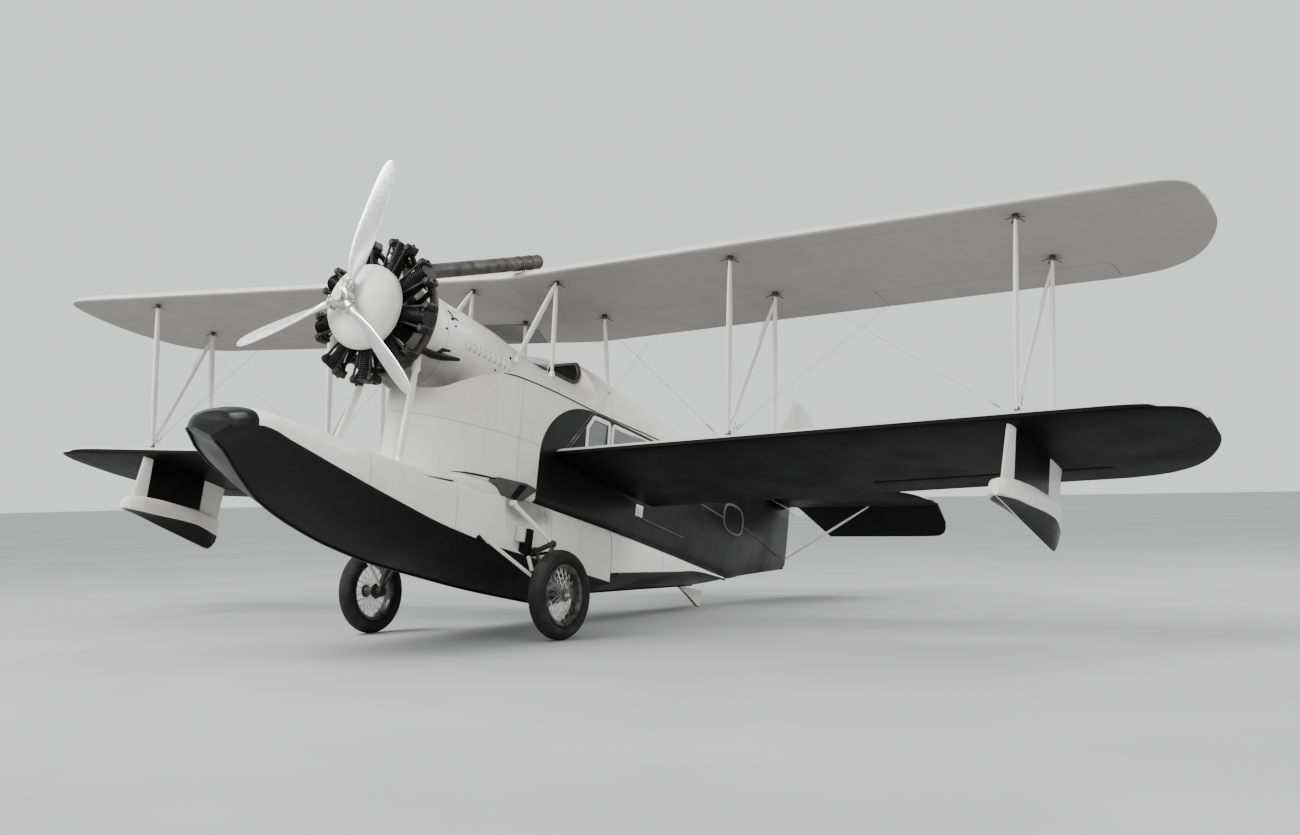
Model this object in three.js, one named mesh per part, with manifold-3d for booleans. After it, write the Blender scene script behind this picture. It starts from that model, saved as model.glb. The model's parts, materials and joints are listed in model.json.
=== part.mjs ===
// A 1920s radial-engined amphibian biplane with a single stepped hull, parked on its two wheels
// and its tail skid. Units are millimetres.
//
// Inside the airframe group x points to port, y points aft and z points up, square to the
// engine shaft, and the zero point is the middle of the upper wing's leading edge. The whole
// group is then turned nose up and set down, so the outer frame's z = 0 is the ground.
import * as THREE from 'three';
import { mergeVertices } from 'three/addons/utils/BufferGeometryUtils.js';
import Module from 'manifold-3d';

const wasm = await Module();
wasm.setup();

const { degToRad, lerp } = THREE.MathUtils;
const GROUND_ANGLE = degToRad(13);
const SEAT_GAP = 0.3;
const RUN_GAP = 6;
const SIDES = [['left', 1], ['right', -1]];

// Wings. A strut table row is a distance from the middle of the aircraft.
const HALF_SPAN = 7110;
const CHORD = 1850;
const THICKNESS_RATIO = 0.1;
const UPPER_SHARE = 1.64;
const LOWER_SHARE = 0.36;
const EDGE_THICKNESS = 3;
const INCIDENCE = degToRad(4.4);
const FRONT_SPAR = 200;
const REAR_SPAR = 1130;
const INNER_STRUT_X = 2612;
const OUTER_STRUT_X = 5518;
const CABANE_X = 550;
const WING = {
  upper: { leadY: 0, leadZ: 0, rootX: SEAT_GAP / 2, dihedral: degToRad(2.5) },
  lower: { leadY: 283, leadZ: -1863, rootX: 730, dihedral: degToRad(2.4) },
};
const AILERON = { innerX: 3560, outerX: 5960, hingeY: 1480, nose: 38, hingeZ: 26, lugs: 3 };
const LUG = { width: 20, height: 24, reach: 10, clear: 16 };
const PAD = { length: 130, width: 90, proud: 8, wire: 44 };
const WIRE = { radius: 4, ahead: 90, beside: 70 };

// Propeller and engine
const SHAFT_Z = -925;
const PROP_Y = -2250;
const PROP_RADIUS = 1365;
const FIRST_BLADE = degToRad(75.5);
const ENGINE_Y = -1800;
const ENGINE_RADIUS = 700;
// A cylinder points straight down; each head carries a rocker box on either side.
const FIRST_CYLINDER = degToRad(70);
const ROCKER = { aside: 108, half: 38, low: 630, high: 712, front: -70, rear: 70 };
const CYLINDERS = 9;
const BOWL_BACK_Y = -1895;
const MOUNT_Y = -1530;
const EXHAUST = {
  ringRadius: 540, tube: 42, ringY: -1600, pipe: 75, pipeX: 150, startZ: -490, endY: 345, endZ: 283,
  padY: 200, stub: 24, bracket: 14,
};

// Landing gear
const WHEEL_RADIUS = 430;
const WHEEL_X = 1200;
const AXLE_Z = -3292;
const AXLE_RADIUS = 28;
const TYRE_WIDTH = 180;
const RIM_RADIUS = 292;
const GEAR_ROOT = {
  drag: { x: 790, y: -700, z: -2910 },
  leg: { x: 790, y: 50, z: -2860 },
  retraction: { x: 750, y: -350, z: -2470 },
};
const GEAR = {
  knee: { x: 1010, y: 40, z: -2790 }, carrierX: 1070, bearing: 52, bearingHalf: 40, axleEndX: 1290,
};
const WELL = { y: -60, z: -2560, radius: 360, floorX: 690, depth: 200 };
const SKID = { pivotY: 4080, topZ: -2520, tipY: 4430, tipZ: -2705, heelY: 4490, heelZ: -2470 };

// Tail
const TAIL = { hingeY: 6466, z: -1045, leadY: 5600, halfSpan: 2120, nose: 24, elevatorChord: 600 };
const ELEVATOR_DROOP = degToRad(30);
const FIN = { footY: 5650, topY: 6300, topZ: 340, halfThickness: 24 };
const RUDDER = { lowZ: -1130, highZ: 350, chord: 640, halfThickness: 20 };

// Cabin and cockpit
const CABIN = { front: -150, rear: 2900, wall: 45, floor: -2290, ceiling: -1235 };
const COCKPIT = {
  front: 260, rear: 1030, low: -1300,
  edge: [[240, 260], [300, 330], [360, 410], [410, 500], [430, 600], [425, 820], [370, 1000], [300, 1030]],
};
const HATCH = {
  front: 2100, rear: 2790, midZ: -850, slope: degToRad(7.1), halfWidth: 505, skin: 25, ledge: 20,
  sideGap: 6, hingeGap: 10, hingeRoom: 60, low: -1150, reach: 60,
};
const SEAT = {
  halfWidth: 220, front: 620, rear: 1000, low: -1640, high: -1500, backFront: 900, backTop: -1000,
  postHalf: 150, postFront: 680, postRear: 940,
};
const PANEL = { halfWidth: 225, low: -1140, high: -875, thickness: 30 };
const YOKE = { reach: 120, z: -1020, radius: 120, tube: 11, column: 14 };
// The cabin's two benches face each other: the back of the first is at its front edge.
const BENCH = {
  halfWidth: 520, low: 160, high: 330, back: 780, backThick: 90, railX: 400, front: 1090, frontEnd: 1490,
  rear: 1780, rearEnd: 2180,
};
const WINDSCREEN = {
  y: 70, halfWidth: 400, sweep: 343, glass: 6, lean: 0.3, low: -950, high: -785,
};

const PAINT = {
  light: { color: 0xdcd8cc, metalness: 0.1, roughness: 0.45 },
  black: { color: 0x141416, metalness: 0.1, roughness: 0.25 },
  engine: { color: 0x232425, metalness: 0.6, roughness: 0.45 },
  steel: { color: 0x8c8d8f, metalness: 0.8, roughness: 0.4 },
  alloy: { color: 0xc6c7c8, metalness: 0.85, roughness: 0.3 },
  rubber: { color: 0x1b1b1b, metalness: 0, roughness: 0.85 },
  leather: { color: 0x2b211c, metalness: 0, roughness: 0.6 },
  glass: { color: 0xa9b4b8, metalness: 0, roughness: 0.08 },
};

const v = (x, y, z) => new THREE.Vector3(x, y, z);
const turn = (i, count) => (i / count) * 2 * Math.PI;

// Solid helpers

function closedGeometry(points, faces) {
  const cross = v(0, 0, 0);
  const volume = faces.reduce((sum, [a, b, c]) => (
    sum + points[a].dot(cross.crossVectors(points[b], points[c]))), 0);
  const outward = volume < 0 ? faces.map(([a, b, c]) => [a, c, b]) : faces;
  const geometry = new THREE.BufferGeometry().setFromPoints(points);
  geometry.setIndex(outward.flat());
  return geometry;
}

// Any closed three.js shape as shared points and faces that point out.
function closed(geometry) {
  const plain = geometry.clone();
  plain.deleteAttribute('normal');
  plain.deleteAttribute('uv');
  const merged = mergeVertices(plain, 0.001);
  const place = merged.attributes.position;
  const points = Array.from({ length: place.count }, (_, i) => v(0, 0, 0).fromBufferAttribute(place, i));
  const faces = [];
  for (let i = 0; i < merged.index.count; i += 3) {
    const [a, b, c] = [0, 1, 2].map((k) => merged.index.getX(i + k));
    if (a !== b && b !== c && c !== a) faces.push([a, b, c]);
  }
  return closedGeometry(points, faces);
}

// Rings hold the same number of points each; both ends are closed by a fan.
function loft(rings) {
  const count = rings[0].length;
  const points = rings.flat();
  const faces = [];
  for (let r = 0; r + 1 < rings.length; r += 1) {
    for (let i = 0; i < count; i += 1) {
      const j = (i + 1) % count;
      const near = r * count;
      const far = near + count;
      faces.push([near + i, near + j, far + j], [near + i, far + j, far + i]);
    }
  }
  const lastFirst = (rings.length - 1) * count;
  for (const [ring, first, isStart] of [[rings[0], 0, true], [rings.at(-1), lastFirst, false]]) {
    const middle = ring.reduce((sum, p) => sum.add(p), v(0, 0, 0)).divideScalar(count);
    const centre = points.push(middle) - 1;
    for (let i = 0; i < count; i += 1) {
      const j = (i + 1) % count;
      faces.push(isStart ? [centre, first + j, first + i] : [centre, first + i, first + j]);
    }
  }
  return closedGeometry(points, faces);
}

// A straight bar with an oval section whose long axis lies fore and aft. Each end may be cut
// to a plane with a given normal.
function bar(from, to, halfChord, halfWidth, ends = {}) {
  const direction = to.clone().sub(from).normalize();
  const level = Math.abs(direction.y) > 0.9 ? v(0, 0, 1) : v(0, 1, 0);
  const chordwise = level.addScaledVector(direction, -level.dot(direction)).normalize();
  const across = v(0, 0, 0).crossVectors(direction, chordwise);
  const sides = ends.sides ?? 10;
  const ring = (end, normal) => Array.from({ length: sides }, (_, i) => {
    const offset = chordwise.clone().multiplyScalar(halfChord * Math.cos(turn(i, sides)));
    offset.addScaledVector(across, halfWidth * Math.sin(turn(i, sides)));
    const slide = normal ? -offset.dot(normal) / direction.dot(normal) : 0;
    return end.clone().add(offset).addScaledVector(direction, slide);
  });
  return loft([ring(from, ends.from), ring(to, ends.to)]);
}

const rod = (from, to, radius, ends = {}) => bar(from, to, radius, radius, ends);

const box = (x, y, z) => {
  const size = [x, y, z].map(([low, high]) => high - low);
  const middle = [x, y, z].map(([low, high]) => (low + high) / 2);
  return new THREE.BoxGeometry(...size).translate(...middle);
};

// Rows of [radius, distance along the axis]. A wheel's axis is x, an engine's or a shaft's is y.
function lathe(profile, sides, axis) {
  const outline = profile.map(([radius, distance]) => new THREE.Vector2(radius, distance));
  const geometry = new THREE.LatheGeometry(outline, sides);
  if (axis === 'x') geometry.rotateZ(-Math.PI / 2);
  return closed(geometry);
}

function toSolid(geometry) {
  const merged = closed(geometry);
  return new wasm.Manifold(new wasm.Mesh({
    numProp: 3,
    vertProperties: new Float32Array(merged.attributes.position.array),
    triVerts: new Uint32Array(merged.index.array),
  }));
}

function toGeometry(solid) {
  const mesh = solid.getMesh();
  const geometry = new THREE.BufferGeometry();
  geometry.setAttribute('position', new THREE.BufferAttribute(mesh.vertProperties, 3));
  geometry.setIndex(new THREE.BufferAttribute(mesh.triVerts, 1));
  return geometry;
}

const combine = (operation) => (first, ...others) => toGeometry(
  others.map(toSolid).reduce((sum, other) => sum[operation](other), toSolid(first)),
);
const join = combine('add');
const cut = combine('subtract');
const overlap = combine('intersect');

function piece(name, geometry, paint, parent) {
  const mesh = new THREE.Mesh(closed(geometry), new THREE.MeshStandardMaterial(PAINT[paint]));
  mesh.name = name;
  parent.add(mesh);
}

// Tables are lists of rows with named columns; between rows a value runs on a straight line.
const table = (columns, values) => values.map((line) => Object.fromEntries(
  columns.map((column, i) => [column, line[i]]),
));

function rowAt(rows, y) {
  const last = rows.length - 1;
  const found = rows.findIndex((row) => row.y >= y);
  const next = Math.min(last, Math.max(1, found < 0 ? last : found));
  const [a, b] = [rows[next - 1], rows[next]];
  const share = (y - a.y) / (b.y - a.y);
  return Object.fromEntries(Object.keys(a).map((column) => [column, lerp(a[column], b[column], share)]));
}

const rowsBetween = (rows, from, to) => [
  rowAt(rows, from), ...rows.filter(({ y }) => y > from + 1 && y < to - 1), rowAt(rows, to),
];

// Hull. beam is the half width at the chine; the heights are of chine, keel, deck edge and crown.
const HULL_COLUMNS = ['y', 'beam', 'chine', 'keel', 'edge', 'crown'];
const STEP_Y = 1450;
const FOREBODY = table(HULL_COLUMNS, [
  [-3560, 230, -2470, -2560, -2400, -2345],
  [-3500, 370, -2462, -2600, -2375, -2300],
  [-3400, 465, -2458, -2645, -2362, -2268],
  [-3200, 575, -2530, -2800, -2370, -2290],
  [-2900, 680, -2620, -2985, -2392, -2310],
  [-2500, 745, -2710, -3105, -2420, -2345],
  [-1950, 765, -2795, -3200, -2435, -2375],
  [-1250, 770, -2880, -3250, -2400, -2350],
  [-350, 770, -2922, -3252, -2370, -2370],
  [STEP_Y, 755, -2920, -3190, -2370, -2370],
]);
const AFTERBODY = table(HULL_COLUMNS, [
  [STEP_Y + SEAT_GAP, 755, -2822, -3072, -2370, -2370],
  [2900, 620, -2550, -2760, -2370, -2370],
  [3500, 545, -2442, -2633, -2370, -2370],
  [4250, 450, -2392, -2475, -2370, -2370],
]);
const DECK_Z = -2370;

function bottomRing({ y, beam, chine, keel }) {
  const top = chine - SEAT_GAP;
  const rail = top - 22;
  const bilge = lerp(keel, top, 0.3);
  return [
    v(-beam, y, top), v(-beam * 0.96, y, rail), v(-beam * 0.3, y, bilge), v(0, y, keel),
    v(beam * 0.3, y, bilge), v(beam * 0.96, y, rail), v(beam, y, top),
  ];
}

function deckRing({ y, beam, chine, edge, crown }) {
  const side = beam * 0.93;
  const outline = [
    [beam, chine], [side, edge], [side * 0.82, lerp(edge, crown, 0.55)],
    [side * 0.4, lerp(edge, crown, 0.88)],
  ];
  const port = outline.map(([x, z]) => v(x, y, z));
  const starboard = outline.map(([x, z]) => v(-x, y, z)).reverse();
  return [...port, v(0, y, crown), ...starboard];
}

const hullShell = () => loft([...FOREBODY, ...AFTERBODY].map(deckRing));

// Recess in the hull side that the wheel folds into.
function wheelWell(side) {
  const { radius, depth, floorX } = WELL;
  const drum = lathe([[0, 0], [radius, 0], [radius, depth], [0, depth]], 28, 'x');
  return drum.translate(side > 0 ? floorX : -floorX - depth, WELL.y, WELL.z);
}

const gearPad = (side, { x, y, z }) => {
  const reach = [side * (x - 150), side * x].sort((a, b) => a - b);
  return box(reach, [y - 50, y + 50], [z - 16, z + 38]);
};

const ENGINE_STRUT = { footX: 450, footY: -1690, footZ: -2372, topX: 310, topY: -1480, topZ: -1405 };

function hull(airframe) {
  const afterRows = AFTERBODY.map((row, i) => (i === 0 ? { ...row, y: row.y + SEAT_GAP } : row));
  const skidPad = box([-70, 70], [SKID.pivotY - 70, SKID.pivotY + 70], [SKID.topZ, SKID.topZ + 90]);
  piece('planing_bottom_forward', loft(FOREBODY.map(bottomRing)), 'black', airframe);
  piece('planing_bottom_aft', join(loft(afterRows.map(bottomRing)), skidPad), 'black', airframe);

  const { footX, footY, footZ } = ENGINE_STRUT;
  const wells = SIDES.map(([, side]) => wheelWell(side));
  const pads = SIDES.flatMap(([, side]) => [
    ...Object.values(GEAR_ROOT).map((root) => gearPad(side, root)),
    box([side * footX - 60, side * footX + 60], [footY - 80, footY + 80], [footZ - 60, footZ]),
  ]);
  const trimmed = cut(join(cut(hullShell(), ...wells), ...pads), bottomBlock());
  piece('hull', trimmed, 'light', airframe);
}

// The planing bottom grown by the seat gap, to keep the gear pads off it.
function bottomBlock() {
  const rows = FOREBODY.map((row) => ({ ...row, chine: row.chine + SEAT_GAP, beam: row.beam + 60 }));
  return loft(rows.map(bottomRing));
}

// Fuselage between hull deck and seam: half widths at seam, middle and foot, then heights.
const BODY = table(['y', 'top', 'middle', 'foot', 'seam', 'base'], [
  [-1370, 60, 60, 75, -1512, -2420],
  [-1300, 150, 150, 175, -1515, -2420],
  [-1100, 300, 315, 345, -1480, -2420],
  [-900, 402, 422, 457, -1362, -2420],
  [-700, 480, 505, 545, -1236, -2420],
  [-480, 548, 578, 612, -1183, -2402],
  [-250, 600, 635, 665, -1172, -2380],
  [CABIN.front, 608, 642, 670, -1174, DECK_Z + SEAT_GAP],
  [300, 640, 668, 680, -1180, DECK_Z + SEAT_GAP],
  [1150, 650, 676, 685, -1205, DECK_Z + SEAT_GAP],
  [2550, 585, 615, 592, -1180, DECK_Z + SEAT_GAP],
  [4250, 425, 445, 402, -1235, DECK_Z + SEAT_GAP],
  [4450, 405, 420, 360, -1242, -2355],
  [5100, 310, 322, 220, -1265, -2205],
  [6430, 34, 34, 28, -1300, -1890],
]);

function bodyRing({ y, top, middle, foot, seam, base }, wall = 0) {
  const outline = [
    [top, seam - SEAT_GAP], [middle, lerp(seam, base, 0.5)], [foot, base + 70], [foot - 40, base],
  ].map(([x, z]) => [Math.max(x - wall, 12), z]);
  return [
    ...outline.map(([x, z]) => v(x, y, z)), ...outline.reverse().map(([x, z]) => v(-x, y, z)),
  ];
}

// Side windows as outlines of [y, z].
const WINDOWS = {
  front: [[885, -1720], [1280, -1720], [1280, -1268], [985, -1268], [885, -1400]],
  rear: [[1345, -1720], [2330, -1720], [2330, -1500], [2200, -1268], [1345, -1268]],
};
const PANE = { x: 640, thickness: 6, inset: 0.5 };

function windowPrism(outline, side, inset, fromX, toX) {
  const middle = [0, 1].map((k) => outline.reduce((sum, p) => sum + p[k], 0) / outline.length);
  const shape = new THREE.Shape(outline.map(([y, z]) => {
    const scale = 1 - inset / Math.hypot(y - middle[0], z - middle[1]);
    return new THREE.Vector2(lerp(middle[0], y, scale), lerp(middle[1], z, scale));
  }));
  const prism = new THREE.ExtrudeGeometry(shape, { depth: toX - fromX, bevelEnabled: false });
  prism.applyMatrix4(new THREE.Matrix4().makeBasis(v(0, 1, 0), v(0, 0, 1), v(1, 0, 0)));
  return prism.translate(side > 0 ? fromX : -toX, 0, 0);
}

function fuselageSides(airframe) {
  const nacelleRoom = loft([...NACELLE, { ...NACELLE.at(-1), y: NACELLE.at(-1).y + SEAT_GAP }]
    .map((row) => nacelleRing(row, SEAT_GAP)));
  const prow = loft(rowsBetween(BODY, BODY[0].y, CABIN.front - SEAT_GAP).map((row) => bodyRing(row)));
  const deckRoom = hullShell().translate(0, 0, SEAT_GAP);
  piece('prow_fairing', cut(prow, nacelleRoom, deckRoom), 'light', airframe);

  const shell = loft(rowsBetween(BODY, CABIN.front, CABIN.rear).map((row) => bodyRing(row)));
  const room = rowsBetween(BODY, CABIN.front + CABIN.wall, CABIN.rear - CABIN.wall)
    .map((row) => bodyRing({ ...row, seam: CABIN.ceiling, base: CABIN.floor }, CABIN.wall));
  const openings = SIDES.flatMap(([, side]) => (
    Object.values(WINDOWS).map((outline) => windowPrism(outline, side, 0, 500, 800))));
  const stubs = SIDES.map(([, side]) => wingStub(side));
  const wells = [cockpitWell(), hatchWell()];
  const walls = cut(join(shell, ...stubs), loft(room), nacelleRoom, ...wells, ...openings);
  piece('cabin', walls, 'black', airframe);

  const tail = loft(rowsBetween(BODY, CABIN.rear + SEAT_GAP, 6430).map((row) => bodyRing(row)));
  const strutPad = box([-60, 60], [6290, 6410], [-1830, -1730]);
  piece('rear_fuselage', join(tail, strutPad), 'black', airframe);

  for (const [name, side] of SIDES) {
    for (const [place, outline] of Object.entries(WINDOWS)) {
      const pane = windowPrism(outline, side, PANE.inset, PANE.x, PANE.x + PANE.thickness);
      piece(`cabin_window_${place}_${name}`, pane, 'glass', airframe);
    }
  }
}

// Round nacelle behind the engine: half width, top and bottom.
const NACELLE = table(['y', 'half', 'top', 'bottom'], [
  [MOUNT_Y, 430, -525, -1400],
  [-1350, 490, -548, -1530],
  [-1100, 517, -579, -1580],
  [-900, 540, -603, -1520],
  [-700, 560, -631, -1430],
  [-450, 585, -665, -1335],
  [-50 - SEAT_GAP, 612, -768, -1215],
]);

function nacelleRing({ y, half, top, bottom }, grown = 0) {
  const sides = 28;
  const middle = (top + bottom) / 2;
  const high = (top - bottom) / 2;
  return Array.from({ length: sides }, (_, i) => v(
    (half + grown) * Math.cos(turn(i, sides)), y, middle + (high + grown) * Math.sin(turn(i, sides)),
  ));
}

function nacelle(airframe) {
  const { footX, footY, footZ, topX, topY, topZ } = ENGINE_STRUT;
  const body = loft(NACELLE.map((row) => nacelleRing(row)));
  const lugs = SIDES.flatMap(([, side]) => [
    box([side * topX - 45, side * topX + 45], [topY - 52, topY + 52], [topZ, topZ + 190]),
    cabanePad(side, CABANE_FEET[0]),
  ]);
  piece('engine_nacelle', join(body, ...lugs), 'light', airframe);
  for (const [name, side] of SIDES) {
    const foot = v(side * footX, footY, footZ + SEAT_GAP);
    const top = v(side * topX, topY, topZ - SEAT_GAP);
    const ends = { from: v(0, 0, 1), to: v(0, 0, 1) };
    piece(`engine_strut_${name}`, bar(foot, top, 46, 22, ends), 'light', airframe);
  }
}

// Turtle deck above the seam. Its top line is a table of its own: low around the cockpit, and
// rising behind it to the pilot's headrest.
const TOP_LINE = table(['y', 'top'], [
  [-50, -768], [120, -806], [300, -838], [800, -840], [920, -800], [1000, -690],
  [COCKPIT.rear, -600], [1150, -582], [1950, -678], [2800, -752], [3500, -852], [4600, -975],
  [5400, -1052], [6430, -1060],
]);
const DECK_FRONT = -50;
const DECK_REAR = 6430;

function turtleRing(y, shrink = 0) {
  const { top: half, seam } = rowAt(BODY, y);
  const { top } = rowAt(TOP_LINE, y);
  const steps = 14;
  return Array.from({ length: steps + 1 }, (_, i) => {
    const angle = (i / steps) * Math.PI;
    return v((half - shrink) * Math.cos(angle), y, seam + (top - shrink - seam) * Math.sin(angle));
  });
}

function deckStations(from, to) {
  const inner = [...BODY, ...TOP_LINE].map(({ y }) => y).filter((y) => y > from + 1 && y < to - 1);
  return [...new Set([from, ...inner.sort((a, b) => a - b), to])];
}

function topDeck(airframe) {
  const stations = deckStations(DECK_FRONT, DECK_REAR);
  const whole = loft(stations.map((y) => turtleRing(y)));
  const hatchSeat = cut(hatchBlock(HATCH.sideGap), underSkin(HATCH.skin + SEAT_GAP));
  const hingeRoom = leanBack(box([-HATCH.halfWidth - HATCH.hingeGap, HATCH.hingeRoom - HATCH.halfWidth],
    [HATCH.front - HATCH.sideGap, HATCH.rear + HATCH.sideGap], [HATCH.low, 0]));
  const tailSeat = loft(tailplaneRings(SEAT_GAP));
  const feet = SIDES.flatMap(([, side]) => CABANE_FEET.slice(1).map((foot) => cabanePad(side, foot)));
  const body = cut(join(whole, ...feet), cockpitWell(), hatchSeat, hingeRoom, hatchWell(), tailSeat);
  piece('top_deck', body, 'light', airframe);

  piece('cabin_hatch', overlap(cut(whole, underSkin(HATCH.skin)), hatchBlock(0)), 'light', airframe);
}

// The cockpit opening, cut through the deck and the cabin roof.
function cockpitWell() {
  const half = COCKPIT.edge.map(([x, y]) => new THREE.Vector2(x, y));
  const mirrored = COCKPIT.edge.map(([x, y]) => new THREE.Vector2(-x, y)).reverse();
  const shape = new THREE.Shape([...half, ...mirrored]);
  const solid = new THREE.ExtrudeGeometry(shape, { depth: -COCKPIT.low, bevelEnabled: false });
  return solid.translate(0, 0, COCKPIT.low);
}

// The turtle deck's inside near the hatch, a given depth below its surface.
const underSkin = (depth) => loft(
  deckStations(HATCH.front - HATCH.reach, HATCH.rear + HATCH.reach).map((y) => turtleRing(y, depth)));

// The hatch's ends stand square to its hinge line, which slopes down aft with the deck, so the
// lid swings clear of both.
function leanBack(solid) {
  const lean = Math.tan(HATCH.slope);
  return solid.applyMatrix4(new THREE.Matrix4().makeShear(0, 0, 0, 0, 0, lean))
    .translate(0, -lean * HATCH.midZ, 0);
}

// The way down from the hatch into the cabin.
function hatchWell() {
  const halfWidth = HATCH.halfWidth - HATCH.ledge;
  return leanBack(box([-halfWidth, halfWidth],
    [HATCH.front + HATCH.ledge, HATCH.rear - HATCH.ledge], [-1300, 0]));
}

const hatchBlock = (grown) => leanBack(box([-HATCH.halfWidth - grown, HATCH.halfWidth + grown],
  [HATCH.front - grown, HATCH.rear + grown], [HATCH.low, 0]));

function roundedBox([x0, x1], [y0, y1], [z0, z1], radius) {
  const shape = new THREE.Shape();
  shape.moveTo(x0 + radius, y0);
  shape.lineTo(x1 - radius, y0);
  shape.absarc(x1 - radius, y0 + radius, radius, -Math.PI / 2, 0);
  shape.lineTo(x1, y1 - radius);
  shape.absarc(x1 - radius, y1 - radius, radius, 0, Math.PI / 2);
  shape.lineTo(x0 + radius, y1);
  shape.absarc(x0 + radius, y1 - radius, radius, Math.PI / 2, Math.PI);
  shape.lineTo(x0, y0 + radius);
  shape.absarc(x0 + radius, y0 + radius, radius, Math.PI, Math.PI * 1.5);
  const solid = new THREE.ExtrudeGeometry(shape, { depth: z1 - z0, bevelEnabled: false, curveSegments: 3 });
  return solid.translate(0, 0, z0);
}

// Feet of the cabane struts, the first on the nacelle and the others on the turtle deck: x, y
// and the height of the flat pad.
const CABANE_FEET = table(['x', 'y', 'z'], [[632, -400, -1030], [565, 285, -985], [560, 1310, -872]]);

function cabanePad(side, { x, y, z }) {
  const reach = [side * (x - 130), side * (x + 30)].sort((a, b) => a - b);
  return box(reach, [y - 60, y + 60], [z - 70, z]);
}

// Cockpit and cabin fittings

function cockpit(airframe) {
  const { halfWidth, front, rear, low, high, backFront, backTop, postHalf, postFront, postRear } = SEAT;
  const floor = CABIN.floor + SEAT_GAP;
  const pan = roundedBox([-halfWidth, halfWidth], [front, rear], [low, high], 60);
  const back = roundedBox([-halfWidth, halfWidth], [backFront, rear], [low, backTop], 40);
  const post = box([-postHalf, postHalf], [postFront, postRear], [floor, low + 10]);
  piece('pilot_seat', join(pan, back, post), 'leather', airframe);

  const wheelY = COCKPIT.front + YOKE.reach;
  const board = box([-PANEL.halfWidth, PANEL.halfWidth],
    [COCKPIT.front + SEAT_GAP, COCKPIT.front + PANEL.thickness], [PANEL.low, PANEL.high]);
  const column = rod(v(0, COCKPIT.front + 15, YOKE.z - 30), v(0, wheelY, YOKE.z), YOKE.column);
  const wheel = ring(v(0, wheelY, YOKE.z), YOKE.radius, YOKE.tube);
  const spoke = box([-YOKE.radius, YOKE.radius], [wheelY - 9, wheelY + 9], [YOKE.z - 8, YOKE.z + 8]);
  piece('instrument_panel', join(board, column, wheel, spoke), 'black', airframe);
  piece('windscreen', windscreen(), 'glass', airframe);

  const wide = [-BENCH.halfWidth, BENCH.halfWidth];
  const heights = (from, to) => [CABIN.floor + from, CABIN.floor + to];
  const rails = [-BENCH.railX, BENCH.railX].map((x) => (
    box([x - 30, x + 30], [BENCH.front + 20, BENCH.rearEnd - 20], heights(SEAT_GAP, BENCH.low + 10))));
  piece('cabin_benches', join(
    roundedBox(wide, [BENCH.front, BENCH.frontEnd], heights(BENCH.low, BENCH.high), 60),
    roundedBox(wide, [BENCH.front, BENCH.front + BENCH.backThick], heights(BENCH.low, BENCH.back), 40),
    roundedBox(wide, [BENCH.rear, BENCH.rearEnd], heights(BENCH.low, BENCH.high), 60),
    roundedBox(wide, [BENCH.rearEnd - BENCH.backThick, BENCH.rearEnd], heights(BENCH.low, BENCH.back), 40),
    ...rails,
  ), 'leather', airframe);
}

// A ring whose axis points aft.
function ring(centre, radius, tube) {
  const profile = Array.from({ length: 8 }, (_, i) => [
    radius + tube * Math.cos(turn(i, 7)), tube * Math.sin(turn(i, 7)),
  ]);
  return lathe(profile, 20, 'y').translate(centre.x, centre.y, centre.z);
}

// Curved windscreen standing on the turtle deck, cut to the deck's own shape.
function windscreen() {
  const { y, halfWidth, sweep, glass, lean, low, high } = WINDSCREEN;
  const shares = Array.from({ length: 9 }, (_, i) => lerp(-1, 1, i / 8));
  const edge = (inset) => shares.map((share) => (
    new THREE.Vector2(share * (halfWidth - inset), y + sweep * share * share + inset)));
  const shape = new THREE.Shape([...edge(0), ...edge(glass).reverse()]);
  const wall = new THREE.ExtrudeGeometry(shape, { depth: high - low, bevelEnabled: false });
  wall.applyMatrix4(new THREE.Matrix4().makeShear(0, 0, 0, 0, 0, lean)).translate(0, 0, low);
  const deck = loft(deckStations(DECK_FRONT, 1400).map((station) => turtleRing(station, -SEAT_GAP)));
  return cut(wall, deck);
}

// Engine
const HEAD_HALF_CHORD = 92;

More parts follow.
